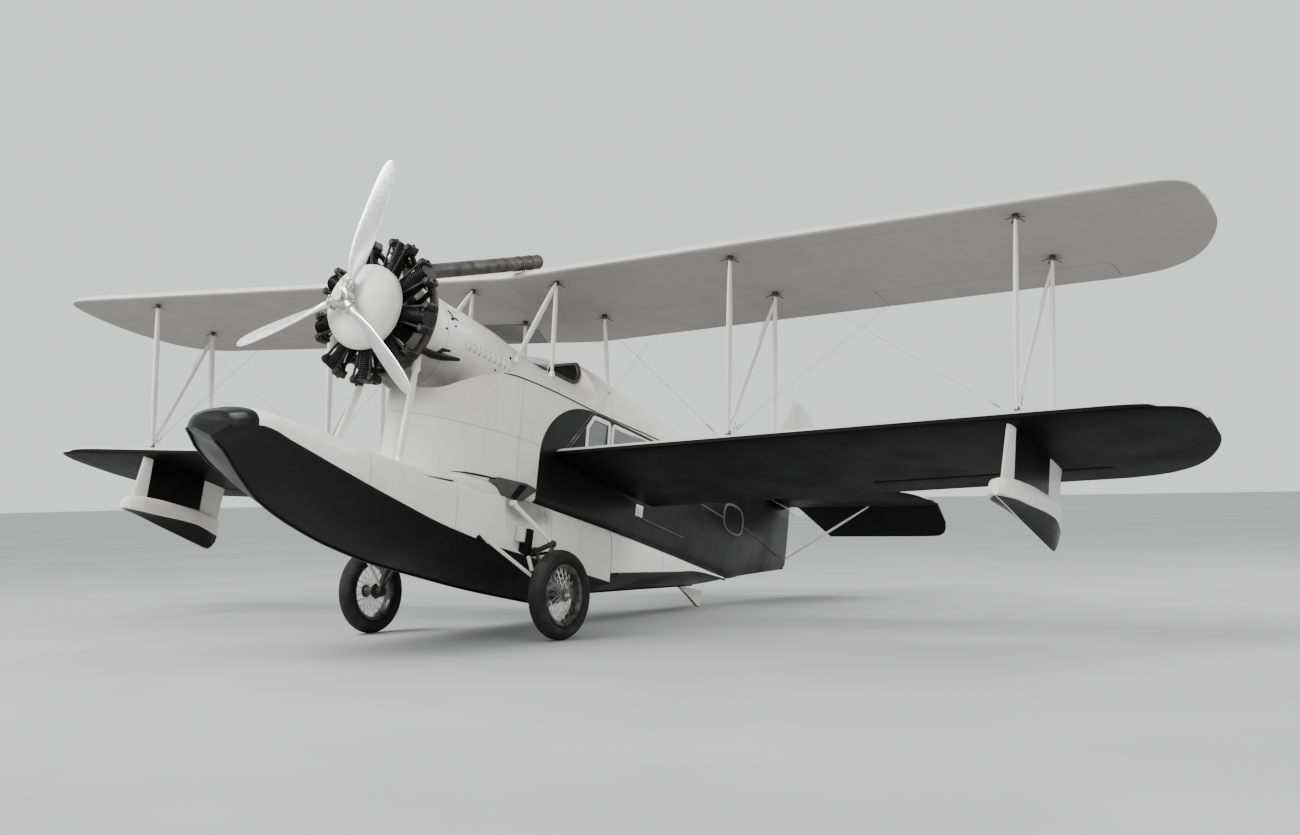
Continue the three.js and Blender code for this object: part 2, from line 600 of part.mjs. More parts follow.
function engine(airframe) {
  const crankcase = lathe([[0, BOWL_BACK_Y + SEAT_GAP], [210, BOWL_BACK_Y + SEAT_GAP],
    [250, -1860], [250, -1600], [300, -1580], [300, MOUNT_Y - SEAT_GAP], [0, MOUNT_Y - SEAT_GAP]],
  24, 'y').translate(0, 0, SHAFT_Z);
  const cylinders = Array.from({ length: CYLINDERS }, (_, i) => {
    const angle = FIRST_CYLINDER + turn(i, CYLINDERS);
    const out = v(Math.cos(angle), 0, Math.sin(angle));
    const side = v(-out.z, 0, out.x);
    const at = (radius, y, sideways = 0) => out.clone().multiplyScalar(radius)
      .addScaledVector(side, sideways).add(v(0, y, SHAFT_Z));
    const barrel = rod(at(220, ENGINE_Y), at(520, ENGINE_Y), 92, { sides: 8 });
    const head = bar(at(500, ENGINE_Y), at(ENGINE_RADIUS, ENGINE_Y), HEAD_HALF_CHORD, 80, { sides: 8 });
    const { aside, half, low, high, front, rear } = ROCKER;
    const hands = [-1, 1].flatMap((hand) => [
      bar(at(low, ENGINE_Y, hand * aside * 0.95), at(high, ENGINE_Y, hand * aside), rear, half, { sides: 6 }),
      rod(at(235, -1874, hand * aside * 0.45), at(low + 20, -1870, hand * aside * 0.95), 11, { sides: 5 }),
    ]);
    return [barrel, head, ...hands];
  });
  const shaft = lathe([[0, PROP_Y + 60 + SEAT_GAP], [45, PROP_Y + 60 + SEAT_GAP], [45, -1890], [0, -1890]],
    16, 'y').translate(0, 0, SHAFT_Z);
  piece('engine', join(crankcase, shaft, ...cylinders.flat()), 'engine', airframe);

  const bowlProfile = [[45 + SEAT_GAP, BOWL_BACK_Y], [402, BOWL_BACK_Y], [414, -1960], [392, -2035],
    [342, -2095], [275, -2135], [195, -2162], [110, -2173], [45 + SEAT_GAP, -2175], [45 + SEAT_GAP, BOWL_BACK_Y]];
  piece('nose_bowl', lathe(bowlProfile, 36, 'y').translate(0, 0, SHAFT_Z), 'light', airframe);
}

function exhaust(airframe) {
  const { ringRadius, tube, ringY, pipe, pipeX, startZ, endY, endZ } = EXHAUST;
  const collector = ring(v(0, ringY, SHAFT_Z), ringRadius, tube);
  const stubs = Array.from({ length: CYLINDERS }, (_, i) => {
    const angle = FIRST_CYLINDER + turn(i, CYLINDERS);
    const place = v(ringRadius * Math.cos(angle), ringY, SHAFT_Z + ringRadius * Math.sin(angle));
    return rod(place, place.clone().setY(ENGINE_Y + HEAD_HALF_CHORD + SEAT_GAP), EXHAUST.stub, { sides: 6 });
  });
  const start = v(pipeX, ringY, startZ);
  const end = v(pipeX, endY, endZ);
  const tailpipe = rod(start, end, pipe, { sides: 16 });
  const pad = padAnchor('upper', 1, pipeX, EXHAUST.padY, true);
  const onPipe = start.clone().lerp(end, (pad.point.y - start.y) / (end.y - start.y));
  const bracket = rod(onPipe, pad.point.clone().setX(pipeX), EXHAUST.bracket, { to: pad.normal });
  piece('exhaust', join(collector, tailpipe, bracket, ...stubs), 'steel', airframe);
}

// Three blades with a twisted flat-sided section: distance out, half chord, half thickness, pitch.
const BLADE = table(['y', 'chord', 'thick', 'pitch'], [
  [60, 42, 42, 60], [200, 45, 36, 56], [340, 78, 24, 48], [600, 100, 15, 36],
  [950, 95, 10, 26], [1200, 78, 7, 21], [1320, 52, 5, 19], [PROP_RADIUS, 18, 3, 18],
]);

function propeller(airframe) {
  const hub = lathe([[0, PROP_Y - 95], [60, PROP_Y - 95], [60, PROP_Y - 60], [95, PROP_Y - 55],
    [95, PROP_Y + 55], [60, PROP_Y + 60], [0, PROP_Y + 60]], 24, 'y').translate(0, 0, SHAFT_Z);
  const blades = [0, 1, 2].map((i) => {
    const angle = FIRST_BLADE + turn(i, 3);
    const out = v(Math.cos(angle), 0, Math.sin(angle));
    const side = v(-out.z, 0, out.x);
    return loft(BLADE.map(({ y: reach, chord, thick, pitch }) => {
      const tilt = degToRad(90 - pitch);
      return Array.from({ length: 12 }, (_, k) => {
        const [a, b] = [chord * Math.cos(turn(k, 12)), thick * Math.sin(turn(k, 12))];
        const sideways = a * Math.sin(tilt) + b * Math.cos(tilt);
        const aft = b * Math.sin(tilt) - a * Math.cos(tilt);
        return out.clone().multiplyScalar(reach).addScaledVector(side, sideways)
          .add(v(0, PROP_Y + aft, SHAFT_Z));
      });
    }));
  });
  piece('propeller', join(hub, ...blades), 'alloy', airframe);
}

// Wings

// Heights of the section at a share of the chord, for a chord and thickness factor.
function sectionHeights(share, chord) {
  const s = Math.sqrt(share);
  const full = 5 * (0.2969 * s - 0.126 * share - 0.3516 * share ** 2 + 0.2843 * share ** 3
    - 0.1036 * share ** 4) * THICKNESS_RATIO * chord;
  const edge = EDGE_THICKNESS * share;
  return { high: UPPER_SHARE * full + edge, low: -LOWER_SHARE * full - edge };
}

const SECTION_SHARES = [0, 0.0125, 0.05, 0.12, 0.22, 0.35, 0.5, 0.65, 0.8, 0.92, 1];

function sectionRing(x, lead, trail) {
  const chord = trail - lead;
  const thin = Math.min(1, chord / CHORD + 0.05);
  const upper = SECTION_SHARES.map((share) => (
    v(x, lead + share * chord, sectionHeights(share, CHORD).high * thin)));
  const lower = SECTION_SHARES.slice(1).reverse().map((share) => (
    v(x, lead + share * chord, sectionHeights(share, CHORD).low * thin)));
  return [...upper, ...lower];
}

// Rounded tip: distance out, leading edge and trailing edge.
const TIP = table(['x', 'lead', 'trail'], [
  [5975, 0, CHORD], [6300, 0, 1800], [6600, 4, 1665], [6800, 16, 1480], [6950, 55, 1245],
  [7050, 130, 1020], [7095, 240, 850], [HALF_SPAN, 400, 690],
]);

function wingFrame(which, side) {
  const { leadY, leadZ, dihedral } = WING[which];
  const frame = new THREE.Group();
  frame.position.set(0, leadY, leadZ);
  frame.rotation.set(-INCIDENCE, -side * dihedral, 0);
  frame.updateMatrix();
  return frame;
}

// Middle of the flat face of a pad on a wing, one seat gap proud of it, and the face's normal.
function padAnchor(which, side, x, y, upward) {
  const frame = wingFrame(which, side);
  const heights = sectionHeights(y / CHORD, CHORD);
  const proud = PAD.proud + SEAT_GAP;
  const z = upward ? heights.high + proud : heights.low - proud;
  return {
    point: v(side * x, y, z).applyMatrix4(frame.matrix),
    normal: v(0, 0, upward ? 1 : -1).transformDirection(frame.matrix),
  };
}

function wingPad(side, x, y, upward, width, length) {
  const heights = sectionHeights(y / CHORD, CHORD);
  const faces = upward ? [heights.high - 60, heights.high + PAD.proud]
    : [heights.low - PAD.proud, heights.low + 30];
  return box([side * x - width / 2, side * x + width / 2], [y - length / 2, y + length / 2], faces);
}

// Rows of pads on each wing: distance out, chordwise place, whether it is a wire's small pad.
const wireY = FRONT_SPAR - WIRE.ahead;
const PADS = {
  upper: table(['x', 'y', 'wire'], [
    [CABANE_X, FRONT_SPAR, 0], [CABANE_X - 20, REAR_SPAR, 0], [CABANE_X + WIRE.beside, wireY, 1],
    [INNER_STRUT_X, FRONT_SPAR, 0], [INNER_STRUT_X, REAR_SPAR, 0],
    [INNER_STRUT_X - WIRE.beside, wireY, 1], [INNER_STRUT_X + WIRE.beside, wireY, 1],
    [OUTER_STRUT_X, FRONT_SPAR, 0], [OUTER_STRUT_X, REAR_SPAR, 0], [OUTER_STRUT_X - WIRE.beside, wireY, 1],
  ]),
  lower: table(['x', 'y', 'wire'], [
    [WING.lower.rootX + WIRE.beside, wireY, 1],
    [INNER_STRUT_X, FRONT_SPAR, 0], [INNER_STRUT_X, REAR_SPAR, 0],
    [INNER_STRUT_X - WIRE.beside, wireY, 1], [INNER_STRUT_X + WIRE.beside, wireY, 1],
    [OUTER_STRUT_X, FRONT_SPAR, 0], [OUTER_STRUT_X, REAR_SPAR, 0], [OUTER_STRUT_X - WIRE.beside, wireY, 1],
  ]),
};

function wingPads(which, side) {
  const upward = which === 'lower';
  return PADS[which].map(({ x, y, wire }) => wingPad(
    side, x, y, upward, wire ? PAD.wire : PAD.width, wire ? PAD.wire : PAD.length));
}

function wingBody(which, side) {
  const rootX = WING[which].rootX;
  const stations = [{ x: rootX, lead: 0, trail: CHORD }, ...TIP];
  const rings = stations.map(({ x, lead, trail }) => sectionRing(side * x, lead, trail));
  for (const point of rings[0]) point.x = side * (rootX + point.z * Math.tan(WING[which].dihedral));
  return loft(rings);
}

const spanBlock = (side, innerX, outerX, y, z) => (
  box([side * innerX, side * outerX].sort((a, b) => a - b), y, z));

const lugPlaces = (innerX, outerX, count) => Array.from(
  { length: count }, (_, i) => lerp(innerX, outerX, (i + 0.5) / count));

function aileronShape(side) {
  const { innerX, outerX, hingeY, nose, hingeZ, lugs } = AILERON;
  const sides = 8;
  const round = Array.from({ length: sides + 1 }, (_, i) => {
    const angle = -Math.PI / 2 - (i / sides) * Math.PI;
    return [hingeY + nose * Math.cos(angle), hingeZ + nose * Math.sin(angle)];
  });
  const outline = [...round, [CHORD, EDGE_THICKNESS], [CHORD, -EDGE_THICKNESS]];
  const rings = [innerX + RUN_GAP, outerX - RUN_GAP].map((x) => outline.map(([y, z]) => v(side * x, y, z)));
  const notches = lugPlaces(innerX, outerX, lugs).map((x) => spanBlock(
    side, x - LUG.width / 2 - SEAT_GAP, x + LUG.width / 2 + SEAT_GAP,
    [hingeY - nose - 10, hingeY + LUG.reach + LUG.clear], [-200, 200]));
  return cut(loft(rings), ...notches);
}

function aileronBay(side) {
  const { innerX, outerX, hingeY, nose } = AILERON;
  return spanBlock(side, innerX, outerX, [hingeY - nose - RUN_GAP, CHORD + 50], [-200, 200]);
}

function aileronLugs(side) {
  const { innerX, outerX, hingeY, nose, hingeZ, lugs } = AILERON;
  return lugPlaces(innerX, outerX, lugs).map((x) => spanBlock(
    side, x - LUG.width / 2, x + LUG.width / 2, [hingeY - nose - RUN_GAP - 20, hingeY + LUG.reach],
    [hingeZ - LUG.height / 2, hingeZ + LUG.height / 2]));
}

function wings(airframe) {
  for (const which of ['upper', 'lower']) {
    for (const [name, side] of SIDES) {
      const frame = wingFrame(which, side);
      airframe.add(frame);
      const extra = which === 'upper' && side > 0
        ? [wingPad(side, EXHAUST.pipeX, EXHAUST.padY, true, 80, 80)] : [];
      const floatPad = which === 'lower' ? [pylonPad(side)] : [];
      const body = cut(wingBody(which, side), aileronBay(side));
      const whole = join(body, ...wingPads(which, side), ...extra, ...floatPad, ...aileronLugs(side));
      piece(`${which}_wing_${name}`, whole, which === 'upper' ? 'light' : 'black', frame);
      piece(`aileron_${which}_${name}`, aileronShape(side), which === 'upper' ? 'light' : 'black', frame);
    }
  }
}

// Stub of the lower wing that belongs to the fuselage side.
function wingStub(side) {
  const { rootX, dihedral } = WING.lower;
  const rings = [600, rootX - SEAT_GAP].map((x) => sectionRing(side * x, 0, CHORD));
  for (const point of rings.flat()) point.x += side * point.z * Math.tan(dihedral);
  return loft(rings).applyMatrix4(wingFrame('lower', side).matrix);
}

// Struts and wires between the wings

function interplaneStruts(airframe) {
  for (const [place, x] of [['inner', INNER_STRUT_X], ['outer', OUTER_STRUT_X]]) {
    for (const [name, side] of SIDES) {
      const ends = [FRONT_SPAR, REAR_SPAR].map((y) => ({
        top: padAnchor('upper', side, x, y, false), foot: padAnchor('lower', side, x, y, true),
      }));
      const uprights = ends.map(({ top, foot }) => (
        bar(foot.point, top.point, 46, 20, { from: foot.normal, to: top.normal })));
      const [front, rear] = ends;
      const diagonal = bar(
        front.foot.point.clone().lerp(front.top.point, 0.03),
        rear.foot.point.clone().lerp(rear.top.point, 0.96), 34, 15);
      piece(`interplane_struts_${place}_${name}`, join(...uprights, diagonal), 'light', airframe);
    }
  }
}

function cabaneStruts(airframe) {
  for (const [name, side] of SIDES) {
    const apex = padAnchor('upper', side, CABANE_X, FRONT_SPAR, false);
    const rearTop = padAnchor('upper', side, CABANE_X - 20, REAR_SPAR, false);
    const feet = CABANE_FEET.map(({ x, y, z }) => v(side * x, y, z + SEAT_GAP));
    const up = v(0, 0, 1);
    const legs = [0, 1].map((i) => bar(feet[i], apex.point, 34, 17, { from: up, to: apex.normal }));
    piece(`front_cabane_${name}`, join(...legs), 'light', airframe);
    const rear = bar(feet[2], rearTop.point, 34, 17, { from: up, to: rearTop.normal });
    piece(`rear_cabane_${name}`, rear, 'light', airframe);
  }
}

function bracingWires(airframe) {
  const bays = {
    inner: [CABANE_X + WIRE.beside, INNER_STRUT_X - WIRE.beside, WING.lower.rootX + WIRE.beside],
    outer: [INNER_STRUT_X + WIRE.beside, OUTER_STRUT_X - WIRE.beside, INNER_STRUT_X + WIRE.beside],
  };
  for (const [bay, [upperX, outerX, lowerX]] of Object.entries(bays)) {
    for (const [name, side] of SIDES) {
      const landing = [padAnchor('upper', side, upperX, wireY, false),
        padAnchor('lower', side, outerX, wireY, true)];
      const flying = [padAnchor('lower', side, lowerX, wireY, true),
        padAnchor('upper', side, outerX, wireY, false)];
      const wires = [landing, flying].map(([a, b]) => (
        rod(a.point, b.point, WIRE.radius, { from: a.normal, to: b.normal, sides: 6 })));
      piece(`bracing_wires_${bay}_${name}`, join(...wires), 'steel', airframe);
    }
  }
}

// Wing-tip float and its solid pylon: half beam, deck, chine and keel heights.
const FLOAT_X = 5480;
const FLOAT = table(['y', 'beam', 'deck', 'chine', 'keel'], [
  [185, 30, -2235, -2318, -2335],
  [240, 90, -2175, -2325, -2346],
  [420, 140, -2140, -2332, -2372],
  [800, 160, -2122, -2318, -2440],
  [1200, 150, -2122, -2312, -2505],
  [1450, 115, -2135, -2325, -2548],
  [1620, 65, -2150, -2345, -2575],
  [1720, 20, -2165, -2380, -2480],
]);
const PYLON = { front: 300, rear: 1700, half: 45, footZ: -2175, headFront: 120, headRear: 1400 };

function floatRing({ y, beam, deck, chine, keel }) {
  return [
    v(-beam, y, chine), v(-beam * 0.85, y, deck - 15), v(0, y, deck), v(beam * 0.85, y, deck - 15),
    v(beam, y, chine), v(0, y, keel),
  ];
}

const pylonPad = (side) => {
  const low = sectionHeights(0.3, CHORD).low;
  return spanBlock(side, FLOAT_X - 60, FLOAT_X + 60, [PYLON.headFront - 30, PYLON.headRear + 30],
    [low - PAD.proud, -10]);
};

function wingFloats(airframe) {
  for (const [name, side] of SIDES) {
    const frame = wingFrame('lower', side);
    const low = sectionHeights(0.3, CHORD).low - PAD.proud - SEAT_GAP;
    const topPlane = (y, aside) => v(side * FLOAT_X + aside, y, low).applyMatrix4(frame.matrix);
    const outline = [[-1, 0], [-0.82, 0.6], [-0.4, 1], [0.2, 0.9], [1, 0.12]];
    const half = (PYLON.rear - PYLON.front) / 2;
    const sectionPoints = [...outline, ...outline.slice(1).reverse().map(([a, b]) => [a, -b])];
    const foot = sectionPoints.map(([a, b]) => (
      v(side * FLOAT_X + b * PYLON.half, PYLON.front + half * (1 + a), PYLON.footZ)));
    const headHalf = (PYLON.headRear - PYLON.headFront) / 2;
    const head = sectionPoints.map(([a, b]) => (
      topPlane(PYLON.headFront + headHalf * (1 + a), b * PYLON.half)));
    const body = loft(FLOAT.map((row) => floatRing(row))).translate(side * FLOAT_X, 0, 0);
    piece(`wing_float_${name}`, join(body, loft([foot, head])), 'black', airframe);
  }
}

// Landing gear: a cranked leg, a drag rod and the retraction strut, in one welded frame.
function landingGear(airframe) {
  const { carrierX, bearing, bearingHalf, axleEndX } = GEAR;
  for (const [name, side] of SIDES) {
    const at = (x, y, z) => v(side * x, y, z);
    const eye = ({ x, y, z }, radius) => rod(
      at(x + SEAT_GAP, y, z), at(x + 60, y, z), radius, { sides: 12 });
    const middle = ({ x, y, z }) => at(x + 32, y, z);
    const knee = at(GEAR.knee.x, GEAR.knee.y, GEAR.knee.z);
    const onAxle = (x) => at(x, 0, AXLE_Z);
    const carrier = onAxle(carrierX);
    const frame = join(
      eye(GEAR_ROOT.leg, 36), eye(GEAR_ROOT.drag, 26), eye(GEAR_ROOT.retraction, 28),
      rod(middle(GEAR_ROOT.leg), knee, 32), rod(knee, carrier, 34),
      rod(middle(GEAR_ROOT.leg), carrier, 18), rod(middle(GEAR_ROOT.drag), carrier, 20),
      rod(middle(GEAR_ROOT.retraction), knee, 22),
      rod(onAxle(carrierX - bearingHalf), onAxle(carrierX + bearingHalf), bearing, { sides: 16 }),
      rod(onAxle(carrierX + bearingHalf - 10), onAxle(axleEndX), AXLE_RADIUS, { sides: 16 }),
    );
    piece(`gear_leg_${name}`, frame, 'steel', airframe);
  }
}

const WHEEL_SIDES = 32;
const wheelProfile = [
  [AXLE_RADIUS + SEAT_GAP, -84], [58, -84], [62, -60], [250, -28], [RIM_RADIUS - 22, -48],
  [RIM_RADIUS, -52], [RIM_RADIUS - 12, 0], [RIM_RADIUS, 52], [RIM_RADIUS - 22, 48], [250, 28],
  [62, 60], [58, 80], [AXLE_RADIUS + SEAT_GAP, 80], [AXLE_RADIUS + SEAT_GAP, -84],
];

function tyreProfile() {
  const half = TYRE_WIDTH / 2;
  const middle = (WHEEL_RADIUS + RIM_RADIUS) / 2;
  const high = (WHEEL_RADIUS - RIM_RADIUS - SEAT_GAP) / 2;
  const bulge = Array.from({ length: 9 }, (_, i) => {
    const angle = lerp(-0.8, 0.8, i / 8) * Math.PI;
    return [middle + high * Math.cos(angle), half * Math.sin(angle)];
  });
  const seat = [[RIM_RADIUS + SEAT_GAP, 50], [RIM_RADIUS - 12 + SEAT_GAP, 0], [RIM_RADIUS + SEAT_GAP, -50]];
  return [...bulge, ...seat, bulge[0]];
}

function wheels(airframe) {
  for (const [name, side] of SIDES) {
    const place = new THREE.Group();
    place.position.set(side * WHEEL_X, 0, AXLE_Z);
    place.rotation.z = side > 0 ? 0 : Math.PI;
    airframe.add(place);
    piece(`wheel_${name}`, lathe(wheelProfile, WHEEL_SIDES, 'x'), 'steel', place);
    piece(`tyre_${name}`, lathe(tyreProfile(), WHEEL_SIDES, 'x'), 'rubber', place);
  }
}

// Swivelling tail skid, which is also the water rudder: a plate in the middle plane.
function tailSkid(airframe) {
  const { pivotY, topZ, tipY, tipZ, heelY, heelZ } = SKID;
  const outline = [[pivotY - 95, topZ - 12], [heelY, heelZ - 30], [heelY + 5, heelZ - 60],
    [tipY + 25, tipZ], [tipY - 20, tipZ], [pivotY - 100, topZ - 30]];
  const shape = new THREE.Shape(outline.map(([y, z]) => new THREE.Vector2(y, z)));
  const plate = new THREE.ExtrudeGeometry(shape, { depth: 30, bevelEnabled: false });
  plate.applyMatrix4(new THREE.Matrix4().makeBasis(v(0, 1, 0), v(0, 0, 1), v(1, 0, 0)));
  plate.translate(-15, 0, 0);
  const post = rod(v(0, pivotY, topZ - 60), v(0, pivotY, topZ - SEAT_GAP), 24, { sides: 16 });
  piece('tail_skid', join(plate, post), 'steel', airframe);
}

// Tail

const TAIL_TIP = table(['x', 'lead', 'thin'], [
  [1600, 0, 1], [1850, 60, 0.9], [2010, 190, 0.75], [2092, 380, 0.55], [TAIL.halfSpan, 560, 0.4],
]);
const TAIL_SHARES = [[0, 0], [0.04, 0.4], [0.15, 0.8], [0.4, 1], [0.75, 0.85], [1, 0.6]];
const TAIL_HALF_THICKNESS = 42;
const TAIL_REAR = TAIL.hingeY - TAIL.nose - RUN_GAP;

function tailplaneRing(x, setBack, thin, grown) {
  const chord = TAIL_REAR - TAIL.leadY - setBack;
  const at = ([share, high], sign) => v(x, TAIL.leadY + setBack - grown + share * (chord + grown),
    TAIL.z + sign * (high * TAIL_HALF_THICKNESS * thin + grown));
  return [
    ...TAIL_SHARES.map((entry) => at(entry, 1)),
    ...TAIL_SHARES.slice(1).reverse().map((entry) => at(entry, -1)),
  ];
}

function tailplaneRings(grown = 0) {
  const port = TAIL_TIP.map(({ x, lead, thin }) => tailplaneRing(x, lead, thin, grown));
  const starboard = [...TAIL_TIP].reverse().map(({ x, lead, thin }) => tailplaneRing(-x, lead, thin, grown));
  return [...starboard, ...port];
}

const ELEVATOR_SPAN = { inner: 90, outer: 2110 };
const ELEVATOR_LUGS = [420, 1080, 1740];
const TAIL_STRUT = { x: 1250, y: 6290, padZ: TAIL.z - 52 };

function tailplane(airframe) {
  const lugs = SIDES.flatMap(([, side]) => ELEVATOR_LUGS.map((x) => spanBlock(
    side, x - LUG.width / 2, x + LUG.width / 2, [TAIL_REAR - 20, TAIL.hingeY + LUG.reach],
    [TAIL.z - LUG.height / 2, TAIL.z + LUG.height / 2])));
  const pads = SIDES.map(([, side]) => spanBlock(side, TAIL_STRUT.x - 50, TAIL_STRUT.x + 50,
    [TAIL_STRUT.y - 60, TAIL_STRUT.y + 60], [TAIL_STRUT.padZ, TAIL.z]));
  piece('tailplane', join(loft(tailplaneRings()), ...lugs, ...pads), 'light', airframe);
}

// An elevator in its own frame, whose zero point lies on the hinge axis. The inboard end is
// cut back at an angle so that the rudder can swing.
function elevators(airframe) {
  const sides = 8;
  for (const [name, side] of SIDES) {
    const frame = new THREE.Group();
    frame.position.set(0, TAIL.hingeY, TAIL.z);
    frame.rotation.x = -ELEVATOR_DROOP;
    airframe.add(frame);
    const stations = table(['x', 'chord'], [
      [ELEVATOR_SPAN.inner, TAIL.elevatorChord], [1500, TAIL.elevatorChord], [1900, 590],
      [2040, 515], [ELEVATOR_SPAN.outer, 330],
    ]);
    const rings = stations.map(({ x, chord }) => {
      const round = Array.from({ length: sides + 1 }, (_, i) => {
        const angle = -Math.PI / 2 - (i / sides) * Math.PI;
        return v(side * x, TAIL.nose * Math.cos(angle), TAIL.nose * Math.sin(angle));
      });
      return [...round, v(side * x, chord, 4), v(side * x, chord, -4)];
    });
    const notches = ELEVATOR_LUGS.map((x) => spanBlock(side, x - LUG.width / 2 - SEAT_GAP,
      x + LUG.width / 2 + SEAT_GAP, [-60, LUG.reach + LUG.clear], [-60, 60]));
    const corner = new THREE.Shape([[0, -60], [120, -60], [120, 0], [420, 700], [0, 700]]
      .map(([x, y]) => new THREE.Vector2(side * x, y)));
    const clear = new THREE.ExtrudeGeometry(corner, { depth: 120, bevelEnabled: false }).translate(0, 0, -60);
    piece(`elevator_${name}`, cut(loft(rings), ...notches, clear), 'light', frame);
  }
}

const finOutline = () => {
  const shape = new THREE.Shape();
  shape.moveTo(FIN.footY, TAIL.z);
  shape.quadraticCurveTo(FIN.topY - 180, FIN.topZ - 500, FIN.topY, FIN.topZ);
  shape.lineTo(TAIL_REAR, FIN.topZ);
  shape.lineTo(TAIL_REAR, TAIL.z);
  return shape;
};

function sidewaysPlate(shape, halfThickness) {
  const plate = new THREE.ExtrudeGeometry(shape, {
    depth: halfThickness * 2, bevelEnabled: false, curveSegments: 8,
  });
  plate.applyMatrix4(new THREE.Matrix4().makeBasis(v(0, 1, 0), v(0, 0, 1), v(1, 0, 0)));
  return plate.translate(-halfThickness, 0, 0);
}

const RUDDER_LUGS = [-700, -250, 200];

function finAndRudder(airframe) {
  const seat = loft(tailplaneRings()).translate(0, 0, SEAT_GAP);
  const lugs = RUDDER_LUGS.map((z) => box([-LUG.height / 2, LUG.height / 2],
    [TAIL_REAR - 20, TAIL.hingeY + LUG.reach], [z - LUG.width / 2, z + LUG.width / 2]));
  piece('fin', join(cut(sidewaysPlate(finOutline(), FIN.halfThickness), seat), ...lugs), 'light', airframe);

  const frame = new THREE.Group();
  frame.position.set(0, TAIL.hingeY, 0);
  airframe.add(frame);
  const { lowZ, highZ, chord } = RUDDER;
  const shape = new THREE.Shape();
  shape.moveTo(0, lowZ);
  shape.lineTo(250, lowZ + 20);
  shape.quadraticCurveTo(chord, lowZ + 250, chord, -500);
  shape.quadraticCurveTo(chord, highZ - 60, 180, highZ);
  shape.lineTo(0, highZ);
  const blade = sidewaysPlate(shape, RUDDER.halfThickness);
  const nose = rod(v(0, 0, lowZ), v(0, 0, highZ), TAIL.nose, { sides: 16 });
  const notches = RUDDER_LUGS.map((z) => box([-60, 60], [-60, LUG.reach + LUG.clear],
    [z - LUG.width / 2 - SEAT_GAP, z + LUG.width / 2 + SEAT_GAP]));
  piece('rudder', cut(join(blade, nose), ...notches), 'light', frame);
}

function tailStruts(airframe) {
  for (const [name, side] of SIDES) {
    const foot = v(side * (60 + SEAT_GAP), 6350, -1780);
    const top = v(side * TAIL_STRUT.x, TAIL_STRUT.y, TAIL_STRUT.padZ - SEAT_GAP);
    const ends = { from: v(1, 0, 0), to: v(0, 0, 1) };
    piece(`tailplane_strut_${name}`, bar(foot, top, 26, 12, ends), 'light', airframe);
  }
}

// Assembly. The aircraft stands on z = 0 with its middle over the zero point.
const airframe = new THREE.Group();
for (const build of [hull, fuselageSides, nacelle, topDeck, cockpit, engine, exhaust, propeller,
  wings, interplaneStruts, cabaneStruts, bracingWires, wingFloats, landingGear, wheels, tailSkid,
  tailplane, elevators, finAndRudder, tailStruts]) build(airframe);
airframe.rotation.x = -GROUND_ANGLE;

const aircraft = new THREE.Group();
aircraft.add(airframe);
aircraft.updateMatrixWorld(true);
const bounds = new THREE.Box3().setFromObject(airframe, true);
airframe.position.set(0, -(bounds.min.y + bounds.max.y) / 2, -bounds.min.z);
aircraft.updateMatrixWorld(true);

export default aircraft;
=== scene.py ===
# %% [markdown]
# # A flying boat, dressed around its CAD frame
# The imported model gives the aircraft's bodies, hinges and plain solids. Every piece made below
# sits in the same frame, in metres: x to port, y aft, z up, with the ground at z = 0. The frame's
# curved solids have flat facets, so they are replaced one by one with smooth skins, and small
# things that a CAD solid leaves out, such as cooling fins, spokes and hinges, are added.

# %% Load the frame
import json
import math

import bmesh
import bpy
from mathutils import Matrix, Vector


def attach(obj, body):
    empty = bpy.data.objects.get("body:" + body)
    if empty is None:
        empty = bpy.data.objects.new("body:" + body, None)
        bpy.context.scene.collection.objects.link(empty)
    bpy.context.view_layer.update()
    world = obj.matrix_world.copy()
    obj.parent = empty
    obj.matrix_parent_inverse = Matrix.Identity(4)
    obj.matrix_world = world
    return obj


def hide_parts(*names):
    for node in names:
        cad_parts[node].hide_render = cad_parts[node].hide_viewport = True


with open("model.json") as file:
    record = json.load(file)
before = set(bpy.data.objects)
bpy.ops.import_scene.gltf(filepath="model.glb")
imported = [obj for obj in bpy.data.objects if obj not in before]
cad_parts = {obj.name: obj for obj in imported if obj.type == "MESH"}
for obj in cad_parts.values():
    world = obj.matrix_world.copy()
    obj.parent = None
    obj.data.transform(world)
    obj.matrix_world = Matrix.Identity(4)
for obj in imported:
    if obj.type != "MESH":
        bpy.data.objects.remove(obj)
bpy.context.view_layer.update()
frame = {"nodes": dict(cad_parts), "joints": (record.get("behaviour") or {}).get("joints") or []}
nodes = frame["nodes"]

# %% [markdown]
# The aircraft stands nose up by 13 degrees. Shapes are easier to write down square to the engine
# shaft, so they are drawn in a level frame whose zero point is the middle of the upper wing's
# leading edge, and one matrix then puts them in place. The wheel's joint tells where that frame is.

# %% The level frame
NOSE_UP = math.radians(13)
AXLE_Z = -3.292
AFT, UP = Vector((0, 1, 0)), Vector((0, 0, 1))
SIDES = (("left", 1), ("right", -1))


def joint_named(name):
    return next(joint for joint in frame["joints"] if joint["name"] == name)


axle = joint_named("wheel_left_spin")["pos_m"]
level_origin = Vector((0, axle[1] - AXLE_Z * math.sin(NOSE_UP),
                       axle[2] - AXLE_Z * math.cos(NOSE_UP)))
LEVEL = Matrix.Translation(level_origin) @ Matrix.Rotation(-NOSE_UP, 4, "X")
TO_LEVEL = LEVEL.inverted()
print("level origin", tuple(round(v, 4) for v in level_origin))

# %% [markdown]
# The camera was solved from the photograph: where it stood, which way it looked and how long its
# lens was. The optical axis is a little above the middle of the picture, so the lens is shifted.

